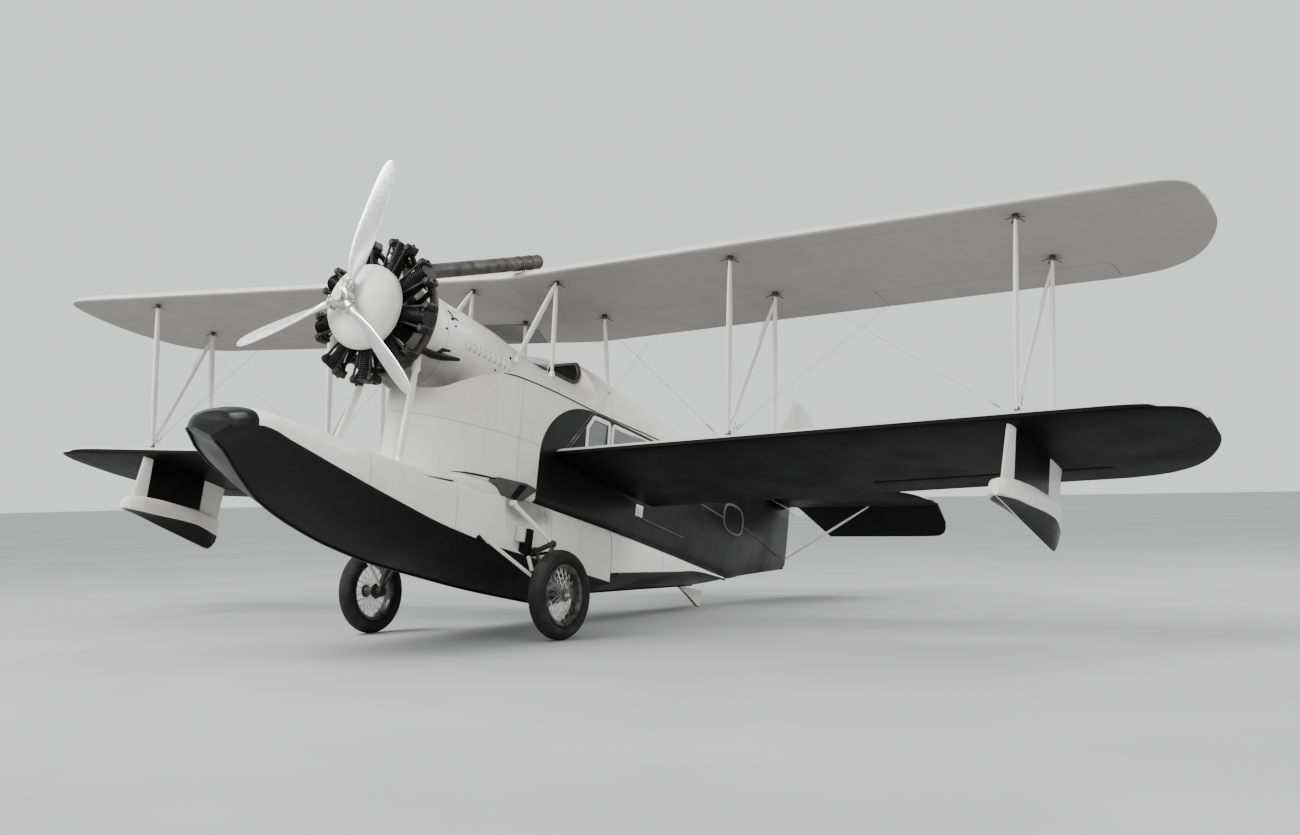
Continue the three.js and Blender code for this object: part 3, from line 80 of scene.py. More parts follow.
# %% Camera
PICTURE_WIDTH = 1300
FOCAL_PIXELS = 1766.735
AXIS_ABOVE_MIDDLE = 45.5
SENSOR = 36
CAMERA_AT = (11.2224, -15.9008, 1.4136)
YAW, PITCH, ROLL = 0.5766, 0.0667, -0.0186
forward = Vector((-math.sin(YAW) * math.cos(PITCH), math.cos(YAW) * math.cos(PITCH),
                  math.sin(PITCH)))
level_right = Vector((math.cos(YAW), math.sin(YAW), 0))
level_up = level_right.cross(forward)
right = level_right * math.cos(ROLL) + level_up * math.sin(ROLL)
up = level_up * math.cos(ROLL) - level_right * math.sin(ROLL)
camera = bpy.data.objects.new("camera", bpy.data.cameras.new("camera"))
bpy.context.scene.collection.objects.link(camera)
camera.data.sensor_width = SENSOR
camera.data.lens = SENSOR * FOCAL_PIXELS / PICTURE_WIDTH
camera.data.shift_y = -AXIS_ABOVE_MIDDLE / PICTURE_WIDTH
camera.data.clip_end = 400
camera.matrix_world = Matrix.Translation(CAMERA_AT) @ Matrix(
    (right, up, -forward)).transposed().to_4x4()
bpy.context.scene.camera = camera
print("lens", round(camera.data.lens, 2), "mm")

# %% [markdown]
# A finish is a node material. Python's own arithmetic is the clearest way to write shader maths, so
# one small class wraps a node's output and turns +, -, *, / and % into Math nodes. The reflected
# forms are there too, so that 1 - mask works.


# %% Shader maths
class Value:
    """A node's output that takes part in Python arithmetic."""

    def __init__(self, finish, socket):
        self.finish, self.socket = finish, socket

    def maths(self, operation, *others):
        return self.finish.node("ShaderNodeMath", {"operation": operation}, self, *others)

    def __add__(self, other):
        return self.maths("ADD", other)

    def __sub__(self, other):
        return self.maths("SUBTRACT", other)

    def __rsub__(self, other):
        return self.finish.node("ShaderNodeMath", {"operation": "SUBTRACT"}, other, self)

    def __mul__(self, other):
        return self.maths("MULTIPLY", other)

    def __truediv__(self, other):
        return self.maths("DIVIDE", other)

    def __abs__(self):
        return self.maths("ABSOLUTE")

    def __mod__(self, other):
        return self.maths("FLOORED_MODULO", other)

    __radd__ = __add__
    __rmul__ = __mul__


class Finish:
    """A material with one Principled shader and one way to add any other node."""

    def __init__(self, name, **sockets):
        self.material = bpy.data.materials.new(name)
        self.material.use_nodes = True
        self.tree = self.material.node_tree
        self.shader = self.tree.nodes["Principled BSDF"]
        self.set(**sockets)

    def feed(self, socket, value):
        if isinstance(value, Value):
            self.tree.links.new(value.socket, socket)
        else:
            socket.default_value = value

    def node(self, kind, settings, *values, output=0, **named):
        made = self.tree.nodes.new(kind)
        for key, value in settings.items():
            setattr(made, key, value)
        fed = [*zip(made.inputs, values)]
        fed += [(made.inputs[name.replace("_", " ")], value) for name, value in named.items()]
        for socket, value in fed:
            self.feed(socket, value)
        return Value(self, made.outputs[output])

    def set(self, **sockets):
        for name, value in sockets.items():
            self.feed(self.shader.inputs[name.replace("_", " ")], value)
        return self

    def where(self):
        """A point's place on Object coordinates, which are the scene's, as no piece is moved."""
        return self.node("ShaderNodeTexCoord", {}, output="Object")

    def split(self, vector):
        made = self.tree.nodes.new("ShaderNodeSeparateXYZ")
        self.feed(made.inputs[0], vector)
        return [Value(self, made.outputs[i]) for i in range(3)]

    def level(self):
        """The level frame's x, y and z of a point of the surface."""
        home = -(Matrix.Rotation(NOSE_UP, 3, "X") @ level_origin)
        return self.split(self.node("ShaderNodeMapping", {}, self.where(), Location=home,
                                    Rotation=(NOSE_UP, 0, 0)))

    def sheet(self):
        """The piece's own UV map."""
        return self.split(self.node("ShaderNodeUVMap", {"uv_map": "sheet"}))

    def step(self, value, low, high):
        smooth = {"interpolation_type": "SMOOTHSTEP"}
        return self.node("ShaderNodeMapRange", smooth, value, low, high)

    def line(self, value, middle, half):
        """1 on a line where value is middle, falling to 0 on both sides."""
        return 1 - self.step(abs(value - middle), half * 0.5, half)

    def noise(self, scale, detail, where=None):
        where = where or self.where()
        return self.node("ShaderNodeTexNoise", {}, Vector=where, Scale=scale, Detail=detail)

    def patches(self, scale, detail, low=None, high=None):
        """Noise, or between low and high only, which makes patches with firmer edges."""
        noise = self.noise(scale, detail)
        return self.step(noise, low, high) if high else noise

    def mix(self, factor, a, b):
        """Two colours mixed. The node's colour sockets come after those of its other types."""
        made = self.tree.nodes.new("ShaderNodeMix")
        made.data_type = "RGBA"
        for index, value in ((0, factor), (6, a), (7, b)):
            self.feed(made.inputs[index], value)
        return Value(self, made.outputs[2])

    def bump(self, height, distance, strength=1.0):
        return self.set(Normal=self.node("ShaderNodeBump", {}, Height=height, Distance=distance,
                                         Strength=strength))

    def dots(self, along, pitch, across, row, radius):
        """Round rivet heads every pitch along a row."""
        a = ((along / pitch) % 1 - 0.5) * pitch
        b = across - row
        return 1 - self.step(a * a + b * b, radius * radius * 0.3, radius * radius)


def grey(value, warm=1.0):
    """A neutral colour, a touch warmer or colder."""
    return (value * warm, value, value / warm ** 1.5, 1.0)


def two_tone(name, blotches, fresh, worn, grain, least, most, **sockets):
    """Two tones in blotches, and a roughness that goes from least up by most with the grain."""
    finish = Finish(name, **sockets)
    return finish.set(Base_Color=finish.mix(finish.patches(*blotches), fresh, worn),
                      Roughness=finish.patches(*grain) * most + least)


def either(*masks):
    """1 wherever one of the masks is."""
    total = masks[0]
    for mask in masks[1:]:
        total = total.maths("MAXIMUM", mask)
    return total


print("a grey:", grey(0.5, 1.02))


# %% [markdown]
# The skins are lofts. The first ring of a loft is drawn as a loop of vertices and edges, and
# bmesh's extrude pulls that loop from one station to the next. Between the rows of a table the
# stations lie on smooth curves that never overshoot, which is how a loftsman fairs a hull.


# %% Lofting helpers
def lerp(a, b, share):
    return a + (b - a) * share


def turns(count):
    """Angles once round a circle."""
    return [2 * math.pi * k / count for k in range(count)]


def spread(low, high, count):
    return [lerp(low, high, i / (count - 1)) for i in range(count)]


def fair(rows, station):
    """A table's row at any station. The first column is the station."""
    stations = [row[0] for row in rows]
    station = min(max(station, stations[0]), stations[-1])
    k = max(i for i in range(len(rows) - 1) if stations[i] <= station)
    width = stations[k + 1] - stations[k]
    t = (station - stations[k]) / width
    made = []
    for column in zip(*rows):
        steps = [(b - a) / (q - p)
                 for p, q, a, b in zip(stations, stations[1:], column, column[1:])]
        inner = [0 if a * b <= 0 else 2 * a * b / (a + b) for a, b in zip(steps, steps[1:])]
        slopes = [steps[0], *inner, steps[-1]]
        made.append((2 * t ** 3 - 3 * t ** 2 + 1) * column[k]
                    + (t ** 3 - 2 * t ** 2 + t) * width * slopes[k]
                    + (3 * t ** 2 - 2 * t ** 3) * column[k + 1]
                    + (t ** 3 - t ** 2) * width * slopes[k + 1])
    return made


def smooth_line(points, steps):
    """More points on a smooth curve through a few (x, z) points, by their number along the line."""
    rows = [(i, *point) for i, point in enumerate(points)]
    return [tuple(fair(rows, i / steps)[1:]) for i in range((len(points) - 1) * steps + 1)]


print("halfway from 0 to 1 through 0.8:", fair([(0, 0.0), (1, 0.8), (2, 1.0)], 0.5)[1])


# %% Loft
def loft(shape, rings, closed_ends=True):
    """Draw the first ring, then pull its edges through the others."""
    ring = [shape.verts.new(point) for point in rings[0]]
    edges = [shape.edges.new(pair) for pair in zip(ring, ring[1:] + ring[:1])]
    first = list(ring)
    for points in rings[1:]:
        made = bmesh.ops.extrude_edge_only(shape, edges=edges)["geom"]
        partner = {}
        fresh = {g for g in made if isinstance(g, bmesh.types.BMVert)}
        for vert in fresh:
            for edge in vert.link_edges:
                other = edge.other_vert(vert)
                if other not in fresh:
                    partner[other] = vert
        ring = [partner[vert] for vert in ring]
        for vert, point in zip(ring, points):
            vert.co = point
        edges = [shape.edges.get(pair) for pair in zip(ring, ring[1:] + ring[:1])]
    if closed_ends:
        shape.faces.new(first)
        shape.faces.new(ring)


def sweep(shape, points, radii, sides=16, squash=1.0, long_axis=None):
    """A tube through points. A flattened one has its long axis along a given direction."""
    points = [Vector(point) for point in points]
    radii = radii if isinstance(radii, (list, tuple)) else [radii] * len(points)
    rings = []
    side = Vector(long_axis) if long_axis else None
    for i, point in enumerate(points):
        before, after = points[max(i - 1, 0)], points[min(i + 1, len(points) - 1)]
        way = (after - before).normalized()
        if side is None:
            side = way.orthogonal()
        side = (side - way * side.dot(way)).normalized()
        across = way.cross(side)
        rings.append([point + side * radii[i] * math.cos(a)
                      + across * radii[i] * squash * math.sin(a) for a in turns(sides)])
    loft(shape, rings)


def strut(shape, a, b, chord, width, slim=0.45, sides=20):
    """A streamlined strut with its long axis fore and aft and both ends drawn thinner."""
    a, b = Vector(a), Vector(b)
    way = (b - a).normalized()
    aft = AFT if abs(way.y) < 0.9 else UP
    aft = (aft - way * aft.dot(way)).normalized()
    across = way.cross(aft)
    rings = []
    for share in (0, 0.02, 0.06, 0.15, 0.3, 0.5, 0.7, 0.85, 0.94, 0.98, 1):
        full = lerp(slim, 1, min(1, math.sin(math.pi * share) * 1.15) ** 0.6)
        centre = a.lerp(b, share)
        rings.append([centre + aft * chord * full * math.cos(a)
                      + across * width * full * math.sin(a) * (1 - 0.3 * math.cos(a))
                      for a in turns(sides)])
    loft(shape, rings)


# %% [markdown]
# Round things are spun: a profile goes right round its axis with bmesh's spin, as on a lathe. Boxes
# are a cube with bevelled edges. A piece built apart can be merged into another.


# %% Turned and square shapes
def hoop(radius, tube, along, sides):
    """The profile of a hoop: a small circle at radius from the axis."""
    return [(radius + tube * math.cos(a), along + tube * math.sin(a)) for a in turns(sides)]


def turned(shape, profile, centre, axis, steps=48, closed=False):
    """Spin a profile of (radius, distance along the axis) points right round its axis."""
    axis = Vector(axis).normalized()
    side = axis.orthogonal().normalized()
    centre = Vector(centre)
    verts = [shape.verts.new(centre + side * radius + axis * along) for radius, along in profile]
    pairs = list(zip(verts, verts[1:])) + ([(verts[-1], verts[0])] if closed else [])
    edges = [shape.edges.new(pair) for pair in pairs]
    bmesh.ops.spin(shape, geom=verts + edges, cent=centre, axis=axis, angle=2 * math.pi,
                   steps=steps, use_merge=True)


def block(shape, low, high, bevel, segments=2):
    """A box between two corners with its edges rounded."""
    middle = (Vector(low) + Vector(high)) / 2
    size = Vector(high) - Vector(low)
    made = bmesh.ops.create_cube(
        shape, size=1, matrix=Matrix.Translation(middle) @ Matrix.Diagonal((*size, 1)))
    edges = list({edge for vert in made["verts"] for edge in vert.link_edges})
    bmesh.ops.bevel(shape, geom=edges, offset=bevel, offset_type="OFFSET", affect="EDGES",
                    segments=segments, profile=0.5, material=-1)


def merge(shape, other):
    """Add the geometry of another bmesh, which is used up."""
    mesh = bpy.data.meshes.new("part")
    other.to_mesh(mesh)
    other.free()
    shape.from_mesh(mesh)
    bpy.data.meshes.remove(mesh)


def mirrored(side, points, at=(0, 0, 0)):
    """Points of the port side, on either side of a place in the middle plane."""
    return [Vector(at) + Vector((side * x, y, z)) for x, y, z in points]


# %% [markdown]
# Every piece leaves the workshop the same way: its doubles are merged, its faces turned outwards,
# its edges marked sharp where it is creased, and then it rides on a body of the frame. A carved
# piece is cut by solids that are thrown away, which is the safest way to make a clean hole.


# %% Finishing and carving
def mesh_object(name, shape):
    mesh = bpy.data.meshes.new(name)
    shape.to_mesh(mesh)
    shape.free()
    made = bpy.data.objects.new(name, mesh)
    bpy.context.scene.collection.objects.link(made)
    return made


def finished(name, shape, slot, finish, place=LEVEL, crease=32, replaces=(), uv=None,
             body="airframe"):
    """Close the mesh, put it in place, and hand it to the body it moves with."""
    bmesh.ops.remove_doubles(shape, verts=shape.verts, dist=2e-5)
    bmesh.ops.dissolve_degenerate(shape, edges=shape.edges, dist=1e-6)
    bmesh.ops.recalc_face_normals(shape, faces=shape.faces)
    if uv:
        layer = shape.loops.layers.uv.new("sheet")
        for face in shape.faces:
            for loop in face.loops:
                loop[layer].uv = uv(loop.vert.co, face.normal)
    bmesh.ops.transform(shape, matrix=place, verts=shape.verts)
    for face in shape.faces:
        face.smooth = True
    limit = math.radians(crease)
    for edge in shape.edges:
        edge.smooth = len(edge.link_faces) == 2 and edge.calc_face_angle(0) < limit
    piece = mesh_object(name, shape)
    piece.data.materials.append(finish.material)
    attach(piece, body)
    if replaces:
        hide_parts(*replaces)
    print(name, len(piece.data.polygons), "faces")
    return piece


def lofted(name, rings, *settings, **more):
    """A piece that is a single loft."""
    shape = bmesh.new()
    loft(shape, rings)
    return finished(name, shape, *settings, **more)


def carve(piece, *cutters):
    """Cut solids out of a finished piece, then drop them."""
    for cutter in cutters:
        cutter.parent = None
        trim = piece.modifiers.new("trim", "BOOLEAN")
        trim.operation, trim.solver, trim.object = "DIFFERENCE", "EXACT", cutter
    depsgraph = bpy.context.evaluated_depsgraph_get()
    mesh = bpy.data.meshes.new_from_object(piece.evaluated_get(depsgraph))
    piece.modifiers.clear()
    old = piece.data
    piece.data = mesh
    bpy.data.meshes.remove(old)
    mesh.name = piece.name
    for cutter in cutters:
        bpy.data.objects.remove(cutter)


def cutter(build, *details):
    """A throwaway solid for carve(), drawn by a function in the level frame."""
    shape = bmesh.new()
    build(shape, *details)
    bmesh.ops.remove_doubles(shape, verts=shape.verts, dist=1e-5)
    bmesh.ops.recalc_face_normals(shape, faces=shape.faces)
    bmesh.ops.transform(shape, matrix=LEVEL, verts=shape.verts)
    return mesh_object("cutter", shape)


def refinish(name, finish):
    """Give one of the frame's own solids a better material."""
    nodes[name].data.materials.clear()
    nodes[name].data.materials.append(finish.material)


# %% [markdown]
# ## Paint
# The hull, nacelle and deck are sheet metal under a light silver-cream enamel. Up close such a
# skin is never one colour: it is dusty in broad patches, streaked by weather and dulled where it is
# handled. Seams and rivets come from the level frame's coordinates, so they sit where the sheets
# would really meet. The same finish takes a mask that says where the glossy black begins.

# %% Light and black enamel
LIGHT, LIGHT_WORN = grey(0.76, 1.012), grey(0.62, 1.03)
BLACK, BLACK_WORN = grey(0.0040), grey(0.0085, 1.03)
SEAM_DARK = grey(0.10, 1.05)
RIVET, RIVET_PITCH, RIVET_OFF_SEAM = 0.0045, 0.045, 0.016


def enamel(name, black=None, seams=(), levels=(), half_seam=0.0035, rivets=True):
    """Enamel on sheet metal with upright seams at stations aft, and level ones at heights. black
    takes the finish and x, y and z and gives the mask of the black paint, or of painted shade."""
    finish = Finish(name, Coat_Weight=0.15, Coat_Roughness=0.2, Specular_IOR_Level=0.16)
    x, y, z = finish.level()
    fine = finish.noise(38, 5)
    streak_at = finish.node("ShaderNodeCombineXYZ", {}, x * 9, y * 9, z * 1.2)
    streaks = finish.step(finish.noise(1.6, 4, streak_at), 0.5, 0.72)
    wear = finish.patches(1.3, 4, 0.42, 0.72) * 0.5 + streaks * 0.3 + fine * 0.12
    colour, height = finish.mix(wear, LIGHT, LIGHT_WORN), fine * 0.05
    if seams:
        seam = either(*(finish.line(y, at, half_seam) for at in seams),
                      *(finish.line(z, at, half_seam) for at in levels))
        colour = finish.mix(seam * 0.8, colour, SEAM_DARK)
        height = height - seam * 0.6
    if seams and rivets:
        heads = either(*(finish.dots(z, RIVET_PITCH, y, at + off, RIVET)
                         for at in seams for off in (-RIVET_OFF_SEAM, RIVET_OFF_SEAM)))
        colour = finish.mix(heads * 0.16, colour, SEAM_DARK)
        height = height + heads
    roughness = finish.step(wear, 0.0, 0.9) * 0.22 + 0.26
    if black:
        mask = black(finish, x, y, z)
        colour = finish.mix(mask, colour, finish.mix(wear, BLACK, BLACK_WORN))
        roughness = roughness + mask * 0.06
        finish.set(Coat_Weight=0.15 - mask * 0.13)
    finish.set(Base_Color=colour, Roughness=roughness)
    return finish.bump(height, 0.004, 0.35)


def all_black(finish, x, y, z):
    """A mask that is 1 everywhere: the whole aircraft is higher than this."""
    return finish.step(z, -99, -98)


plain_light = enamel("light_enamel")
plain_black = enamel("black_enamel", black=all_black)
print("enamels ready")

# %% [markdown]
# ## Hull
# The hull is two things: a V-shaped planing bottom, broken by a step amidships, and a rounded
# side and deck that stand on its chine. A table gives the half beam and the heights of the chine,
# keel, deck edge and crown. The V is drawn slightly hollow, as a planing bottom is.

# %% Planing bottoms
# station, half beam, chine, keel, deck edge, crown
FOREBODY = [
    (-3.56, 0.23, -2.470, -2.560, -2.400, -2.345), (-3.50, 0.37, -2.462, -2.600, -2.375, -2.300),
    (-3.40, 0.465, -2.458, -2.645, -2.362, -2.268), (-3.20, 0.575, -2.530, -2.800, -2.370, -2.290),
    (-2.90, 0.68, -2.620, -2.985, -2.392, -2.310), (-2.50, 0.745, -2.710, -3.105, -2.420, -2.345),
    (-1.95, 0.765, -2.795, -3.200, -2.435, -2.375), (-1.25, 0.77, -2.880, -3.250, -2.400, -2.350),
    (-0.35, 0.77, -2.922, -3.252, -2.370, -2.370), (1.45, 0.755, -2.920, -3.190, -2.370, -2.370),
]
AFTERBODY = [
    (1.4506, 0.755, -2.822, -3.072, -2.370, -2.370), (2.90, 0.62, -2.550, -2.760, -2.370, -2.370),
    (3.50, 0.545, -2.442, -2.633, -2.370, -2.370), (4.25, 0.45, -2.392, -2.475, -2.370, -2.370),
]


def bottom_ring(row):
    y, beam, chine, keel, _, _ = row
    half = [(beam * t, lerp(keel, chine, t - 0.05 * math.sin(math.pi * t)))
            for t in spread(0, 0.97, 12)]
    half += [(beam * 0.985, chine - 0.022), (beam, chine - 0.012), (beam, chine - 0.0003)]
    port = [Vector((x, y, z)) for x, z in half]
    return port + [Vector((-x, y, z)) for x, z in reversed(half[1:])]


def stations_for(rows, step):
    """Even stations along a table, and its own rows."""
    count = max(3, int((rows[-1][0] - rows[0][0]) / step))
    even = {round(y, 4) for y in spread(rows[0][0], rows[-1][0], count)}
    return sorted(even | {row[0] for row in rows})


bottom_paint = enamel("bottom_black", black=all_black, seams=(-2.4, -1.2, 0.2, 2.4, 3.4))
for name, rows in (("planing_bottom_forward", FOREBODY), ("planing_bottom_aft", AFTERBODY)):
    rings = [bottom_ring(fair(rows, y)) for y in stations_for(rows, 0.07)]
    lofted(f"{name}_skin", rings, "black_paint", bottom_paint, replaces=[name])

# %% [markdown]
# Along the chine runs a narrow spray rail, and the keel carries a shoe that takes the beach. Both
# are thin strips swept along the hull's own lines, and both catch a line of light.

# %% Spray rails and keel shoe
strip_finish = enamel("strip_black", black=all_black)
for name, rows in (("forward", FOREBODY), ("aft", AFTERBODY)):
    shape = bmesh.new()
    line = [fair(rows, y) for y in stations_for(rows, 0.12)[1:]]
    for side in (1, -1):
        chine = [(side * (beam + 0.004), y, low - 0.012) for y, beam, low, *_ in line]
        sweep(shape, chine, 0.012, 10)
    keel = [(0, row[0], row[3] - 0.002) for row in line]
    sweep(shape, keel, 0.016, 10, squash=0.6, long_axis=(1, 0, 0))
    finished(f"rails_{name}", shape, "black_paint", strip_finish)

# %% [markdown]
# The hull's side rises from the chine, leans in a little and rounds over into a low crowned deck.
# The snub bow is black on its face and on the first of the deck.

# %% Hull side and deck
def deck_ring(row):
    y, beam, chine, _, edge, crown = row
    side = beam * 0.94
    line = smooth_line([(beam, chine), (beam * 0.985, lerp(chine, edge, 0.5)),
                        (side, lerp(chine, edge, 0.86)), (side * 0.93, lerp(edge, crown, 0.2)),
                        (side * 0.78, lerp(edge, crown, 0.55)),
                        (side * 0.4, lerp(edge, crown, 0.9)), (0, crown)], 4)
    port = [Vector((x, y, z)) for x, z in line]
    return port + [Vector((-x, y, z)) for x, z in reversed(line[:-1])]


def hull_dark(finish, x, y, z):
    """The black bow cap, and painted shade round the top of the gear well."""
    cap = 1 - finish.step(y - abs(x) * 0.03, -3.455, -3.447)
    a, b = (y + 0.02) / 0.42, (z + 2.45) / 0.16
    well_painted_shade = (1 - finish.step(a * a + b * b, 0.25, 1.3)) * (finish.noise(5, 4) * 0.4 + 0.42)
    return either(cap, well_painted_shade * finish.step(abs(x), 0.5, 0.6))


hull_paint = enamel("hull_light", black=hull_dark, seams=(-2.35, -1.15, 0.35, 1.45, 2.6, 3.5))
rings = [deck_ring(fair(FOREBODY, y)) for y in stations_for(FOREBODY, 0.07)]
rings += [deck_ring(fair(AFTERBODY, y)) for y in stations_for(AFTERBODY, 0.1)]
hull = lofted("hull_skin", rings, "light_paint", hull_paint, replaces=["hull"])
WELL = {"y": -0.06, "z": -2.56, "radius": 0.36, "floor": 0.69, "mouth": 0.9}


def gear_well(shape, side):
    """A round recess in the hull's side that the wheel folds up against."""
    radius, floor, mouth = WELL["radius"], WELL["floor"], WELL["mouth"]
    turned(shape, [(0, floor), (radius, floor), (radius, mouth), (0, mouth)],
           (0, WELL["y"], WELL["z"]), (side, 0, 0), 64)


carve(hull, *(cutter(gear_well, side) for _, side in SIDES))

# %% [markdown]
# ## Fuselage
# The sides stand on the hull's deck as one fair surface from the narrow prow under the engine to
# the sternpost. The black side panel starts at a quarter-round edge. It is a mask on the level
# frame's y and z, so the edge is crisp and stays in place on every piece that it crosses.

# %% Fuselage sides
# station, half width at the seam, at mid height, at the foot, seam height, base height
BODY = [
    (-1.37, 0.060, 0.060, 0.075, -1.512, -2.42), (-1.30, 0.150, 0.150, 0.175, -1.515, -2.42),
    (-1.10, 0.300, 0.315, 0.345, -1.480, -2.42), (-0.90, 0.402, 0.422, 0.457, -1.362, -2.42),
    (-0.70, 0.480, 0.505, 0.545, -1.236, -2.42), (-0.48, 0.548, 0.578, 0.612, -1.183, -2.402),
    (-0.25, 0.600, 0.635, 0.665, -1.172, -2.38), (0.30, 0.640, 0.668, 0.680, -1.180, -2.3697),
    (1.15, 0.650, 0.676, 0.685, -1.205, -2.3697), (2.55, 0.585, 0.615, 0.592, -1.180, -2.3697),
    (4.25, 0.425, 0.445, 0.402, -1.235, -2.3697), (4.45, 0.405, 0.420, 0.360, -1.242, -2.355),
    (5.10, 0.310, 0.322, 0.220, -1.265, -2.205), (6.43, 0.034, 0.034, 0.028, -1.300, -1.890),
]


def body_half(row):
    _, top, middle, foot, seam, base = row
    return smooth_line([(top, seam - 0.0003), (middle, lerp(seam, base, 0.5)),
                        (foot, base + 0.07), (foot - 0.04, base)], 6)


def body_ring(row):
    half = body_half(row)
    y = row[0]
    port = [Vector((x, y, z)) for x, z in half]
    return port + [Vector((-x, y, z)) for x, z in reversed(half)]


def side_black(finish, x, y, z):
    a = (0.97 - y).maths("MAXIMUM", 0.0) / 0.86
    b = (z + 1.88).maths("MAXIMUM", 0.0) / 0.67
    corner = 1 - finish.step(a * a + b * b, 0.985, 1.0)
    return corner * finish.step(z, -2.374, -2.371)


def side_dark(finish, x, y, z):
    """The black panel, and painted shade on the prow where it meets the underside of the nacelle.
    """
    prow_painted_shade = ((1 - finish.step(y, -1.34, -1.0)) * finish.step(z, -1.80, -1.50)
            * (finish.noise(3.2, 5) * 0.4 + 0.5))
    return either(side_black(finish, x, y, z), prow_painted_shade)


side_paint = enamel("side_enamel", black=side_dark, levels=(-1.78,),
                    seams=(-0.2, 0.78, 2.15, 3.3, 4.45, 5.4))
CABIN_FRONT, CABIN_REAR = -0.15, 2.90
windows = {
    "front": [(0.885, -1.72), (1.28, -1.72), (1.28, -1.268), (0.985, -1.268), (0.885, -1.40)],
    "rear": [(1.345, -1.72), (2.33, -1.72), (2.33, -1.50), (2.20, -1.268), (1.345, -1.268)],
}


def prism(shape, outline, low, high):
    """A flat outline in y and z, made thick from x = low to x = high."""
    loft(shape, [[Vector((x, y, z)) for y, z in outline] for x in (low, high)])


def side_piece(name, front, rear, replaces):
    keep = [y for y in stations_for(BODY, 0.08) if front + 0.01 < y < rear - 0.01]
    rings = [body_ring(fair(BODY, y)) for y in (front, *keep, rear)]
    return lofted(name, rings, "black_paint", side_paint, replaces=replaces)


side_piece("prow_skin", -1.37, CABIN_FRONT - 0.0003, ["prow_fairing"])
side_piece("rear_fuselage_skin", CABIN_REAR + 0.0003, 6.43, ["rear_fuselage"])
cabin = side_piece("cabin_skin", CABIN_FRONT, CABIN_REAR, ["cabin"])


# %% Cabin room and window openings
WALL = 0.045


def cabin_room(shape):
    """The room inside the cabin's walls."""
    keep = [y for y in stations_for(BODY, 0.2) if CABIN_FRONT + 0.06 < y < CABIN_REAR - 0.06]
    rings = []
    for y in (CABIN_FRONT + WALL, *keep, CABIN_REAR - WALL):
        _, top, middle, foot, *_ = fair(BODY, y)
        rings.append(body_ring((y, top - WALL, middle - WALL, foot - WALL, -1.235, -2.29)))
    loft(shape, rings)


carve(cabin, cutter(cabin_room))
carve(cabin, *(cutter(prism, outline, side * 0.5, side * 0.8)
               for _, side in SIDES for outline in windows.values()))
print("cabin with its openings:", len(cabin.data.polygons), "faces")

# %% [markdown]
# The windows have white surrounds that stand a little proud of the black. A surround is the
# opening's outline, swept as a flat bar. The panes are the CAD solids with a glass finish.

# %% Window frames and panes
glass = Finish("cabin_glass", Base_Color=grey(0.34, 0.99), IOR=1.45, Transmission_Weight=0.6,
               Alpha=0.72)
glass.set(Roughness=glass.patches(7, 3, 0.35, 0.8) * 0.12 + 0.02)
frame_paint = enamel("window_frame_white")


def wall_x(y, z):
    """How far out the cabin's side is at a point of it."""
    half = body_half(fair(BODY, y))
    for (x0, z0), (x1, z1) in zip(half, half[1:]):
        if z1 <= z <= z0:
            return lerp(x0, x1, (z - z0) / (z1 - z0))
    return half[0][0]


shape = bmesh.new()
for outline in windows.values():
    corners = [Vector((0, y, z)) for y, z in outline]
    loop = []
    for a, b in zip(corners, corners[1:] + corners[:1]):
        loop += [a.lerp(b, t) for t in (0.04, 0.35, 0.65, 0.96)]
    for side in (1, -1):
        line = [Vector((side * (wall_x(p.y, p.z) + 0.002), p.y, p.z)) for p in loop]
        for a, b in zip(line, line[1:] + line[:1]):
            sweep(shape, [a.lerp(b, -0.03), a.lerp(b, 1.03)], 0.023, 12, squash=0.35,
                  long_axis=(0, b.z - a.z, a.y - b.y))
finished("window_frames", shape, "light_paint", frame_paint)
for name in nodes:
    if name.startswith("cabin_window"):
        refinish(name, glass)

# %% [markdown]
# ## Turtle deck and nacelle
# Above the seam the section is half an oval. The nacelle in front of it starts as a whole oval
# behind the engine and has to turn into that half oval, so its rings slide from one to the other.

# %% Turtle deck
TOP_LINE = [(-0.05, -0.768), (0.12, -0.806), (0.30, -0.838), (0.80, -0.840), (0.92, -0.800),
            (1.00, -0.690), (1.03, -0.600), (1.15, -0.582), (1.95, -0.678), (2.80, -0.752),
            (3.50, -0.852), (4.60, -0.975), (5.40, -1.052), (6.43, -1.060)]


def turtle_ring(y):
    row = fair(BODY, y)
    half, seam, top = row[1], row[4], fair(TOP_LINE, y)[1]
    return [Vector((half * math.cos(a), y, seam + (top - seam) * math.sin(a)))
            for a in (math.pi * k / 32 for k in range(33))]


def tailplane_painted_shadow(finish, x, y, z):
    """Painted shadow under the tailplane: the side's black carried up on the deck behind a rising
    line.
    """
    rising = 1 - finish.step(z - (y - 4.55) * 0.33, -1.255, -1.25)
    return rising * (1 - finish.step(z, -1.105, -1.10))


deck_paint = enamel("deck_light", black=tailplane_painted_shadow, seams=(0.33, 1.32, 2.05, 2.85, 3.9, 5.0))
stations = sorted({*stations_for(TOP_LINE, 0.07), *spread(0.82, 1.14, 17)})
deck = lofted("top_deck_skin", [turtle_ring(y) for y in stations], "light_paint", deck_paint,
              replaces=["top_deck"])

# %% [markdown]
# Two holes go through the deck and the cabin roof under it: the open cockpit, and the hatch, which
# is sunk in a step so that its lid lies flush. Cutting both skins with the same solid lines up the
# edges of the hole.

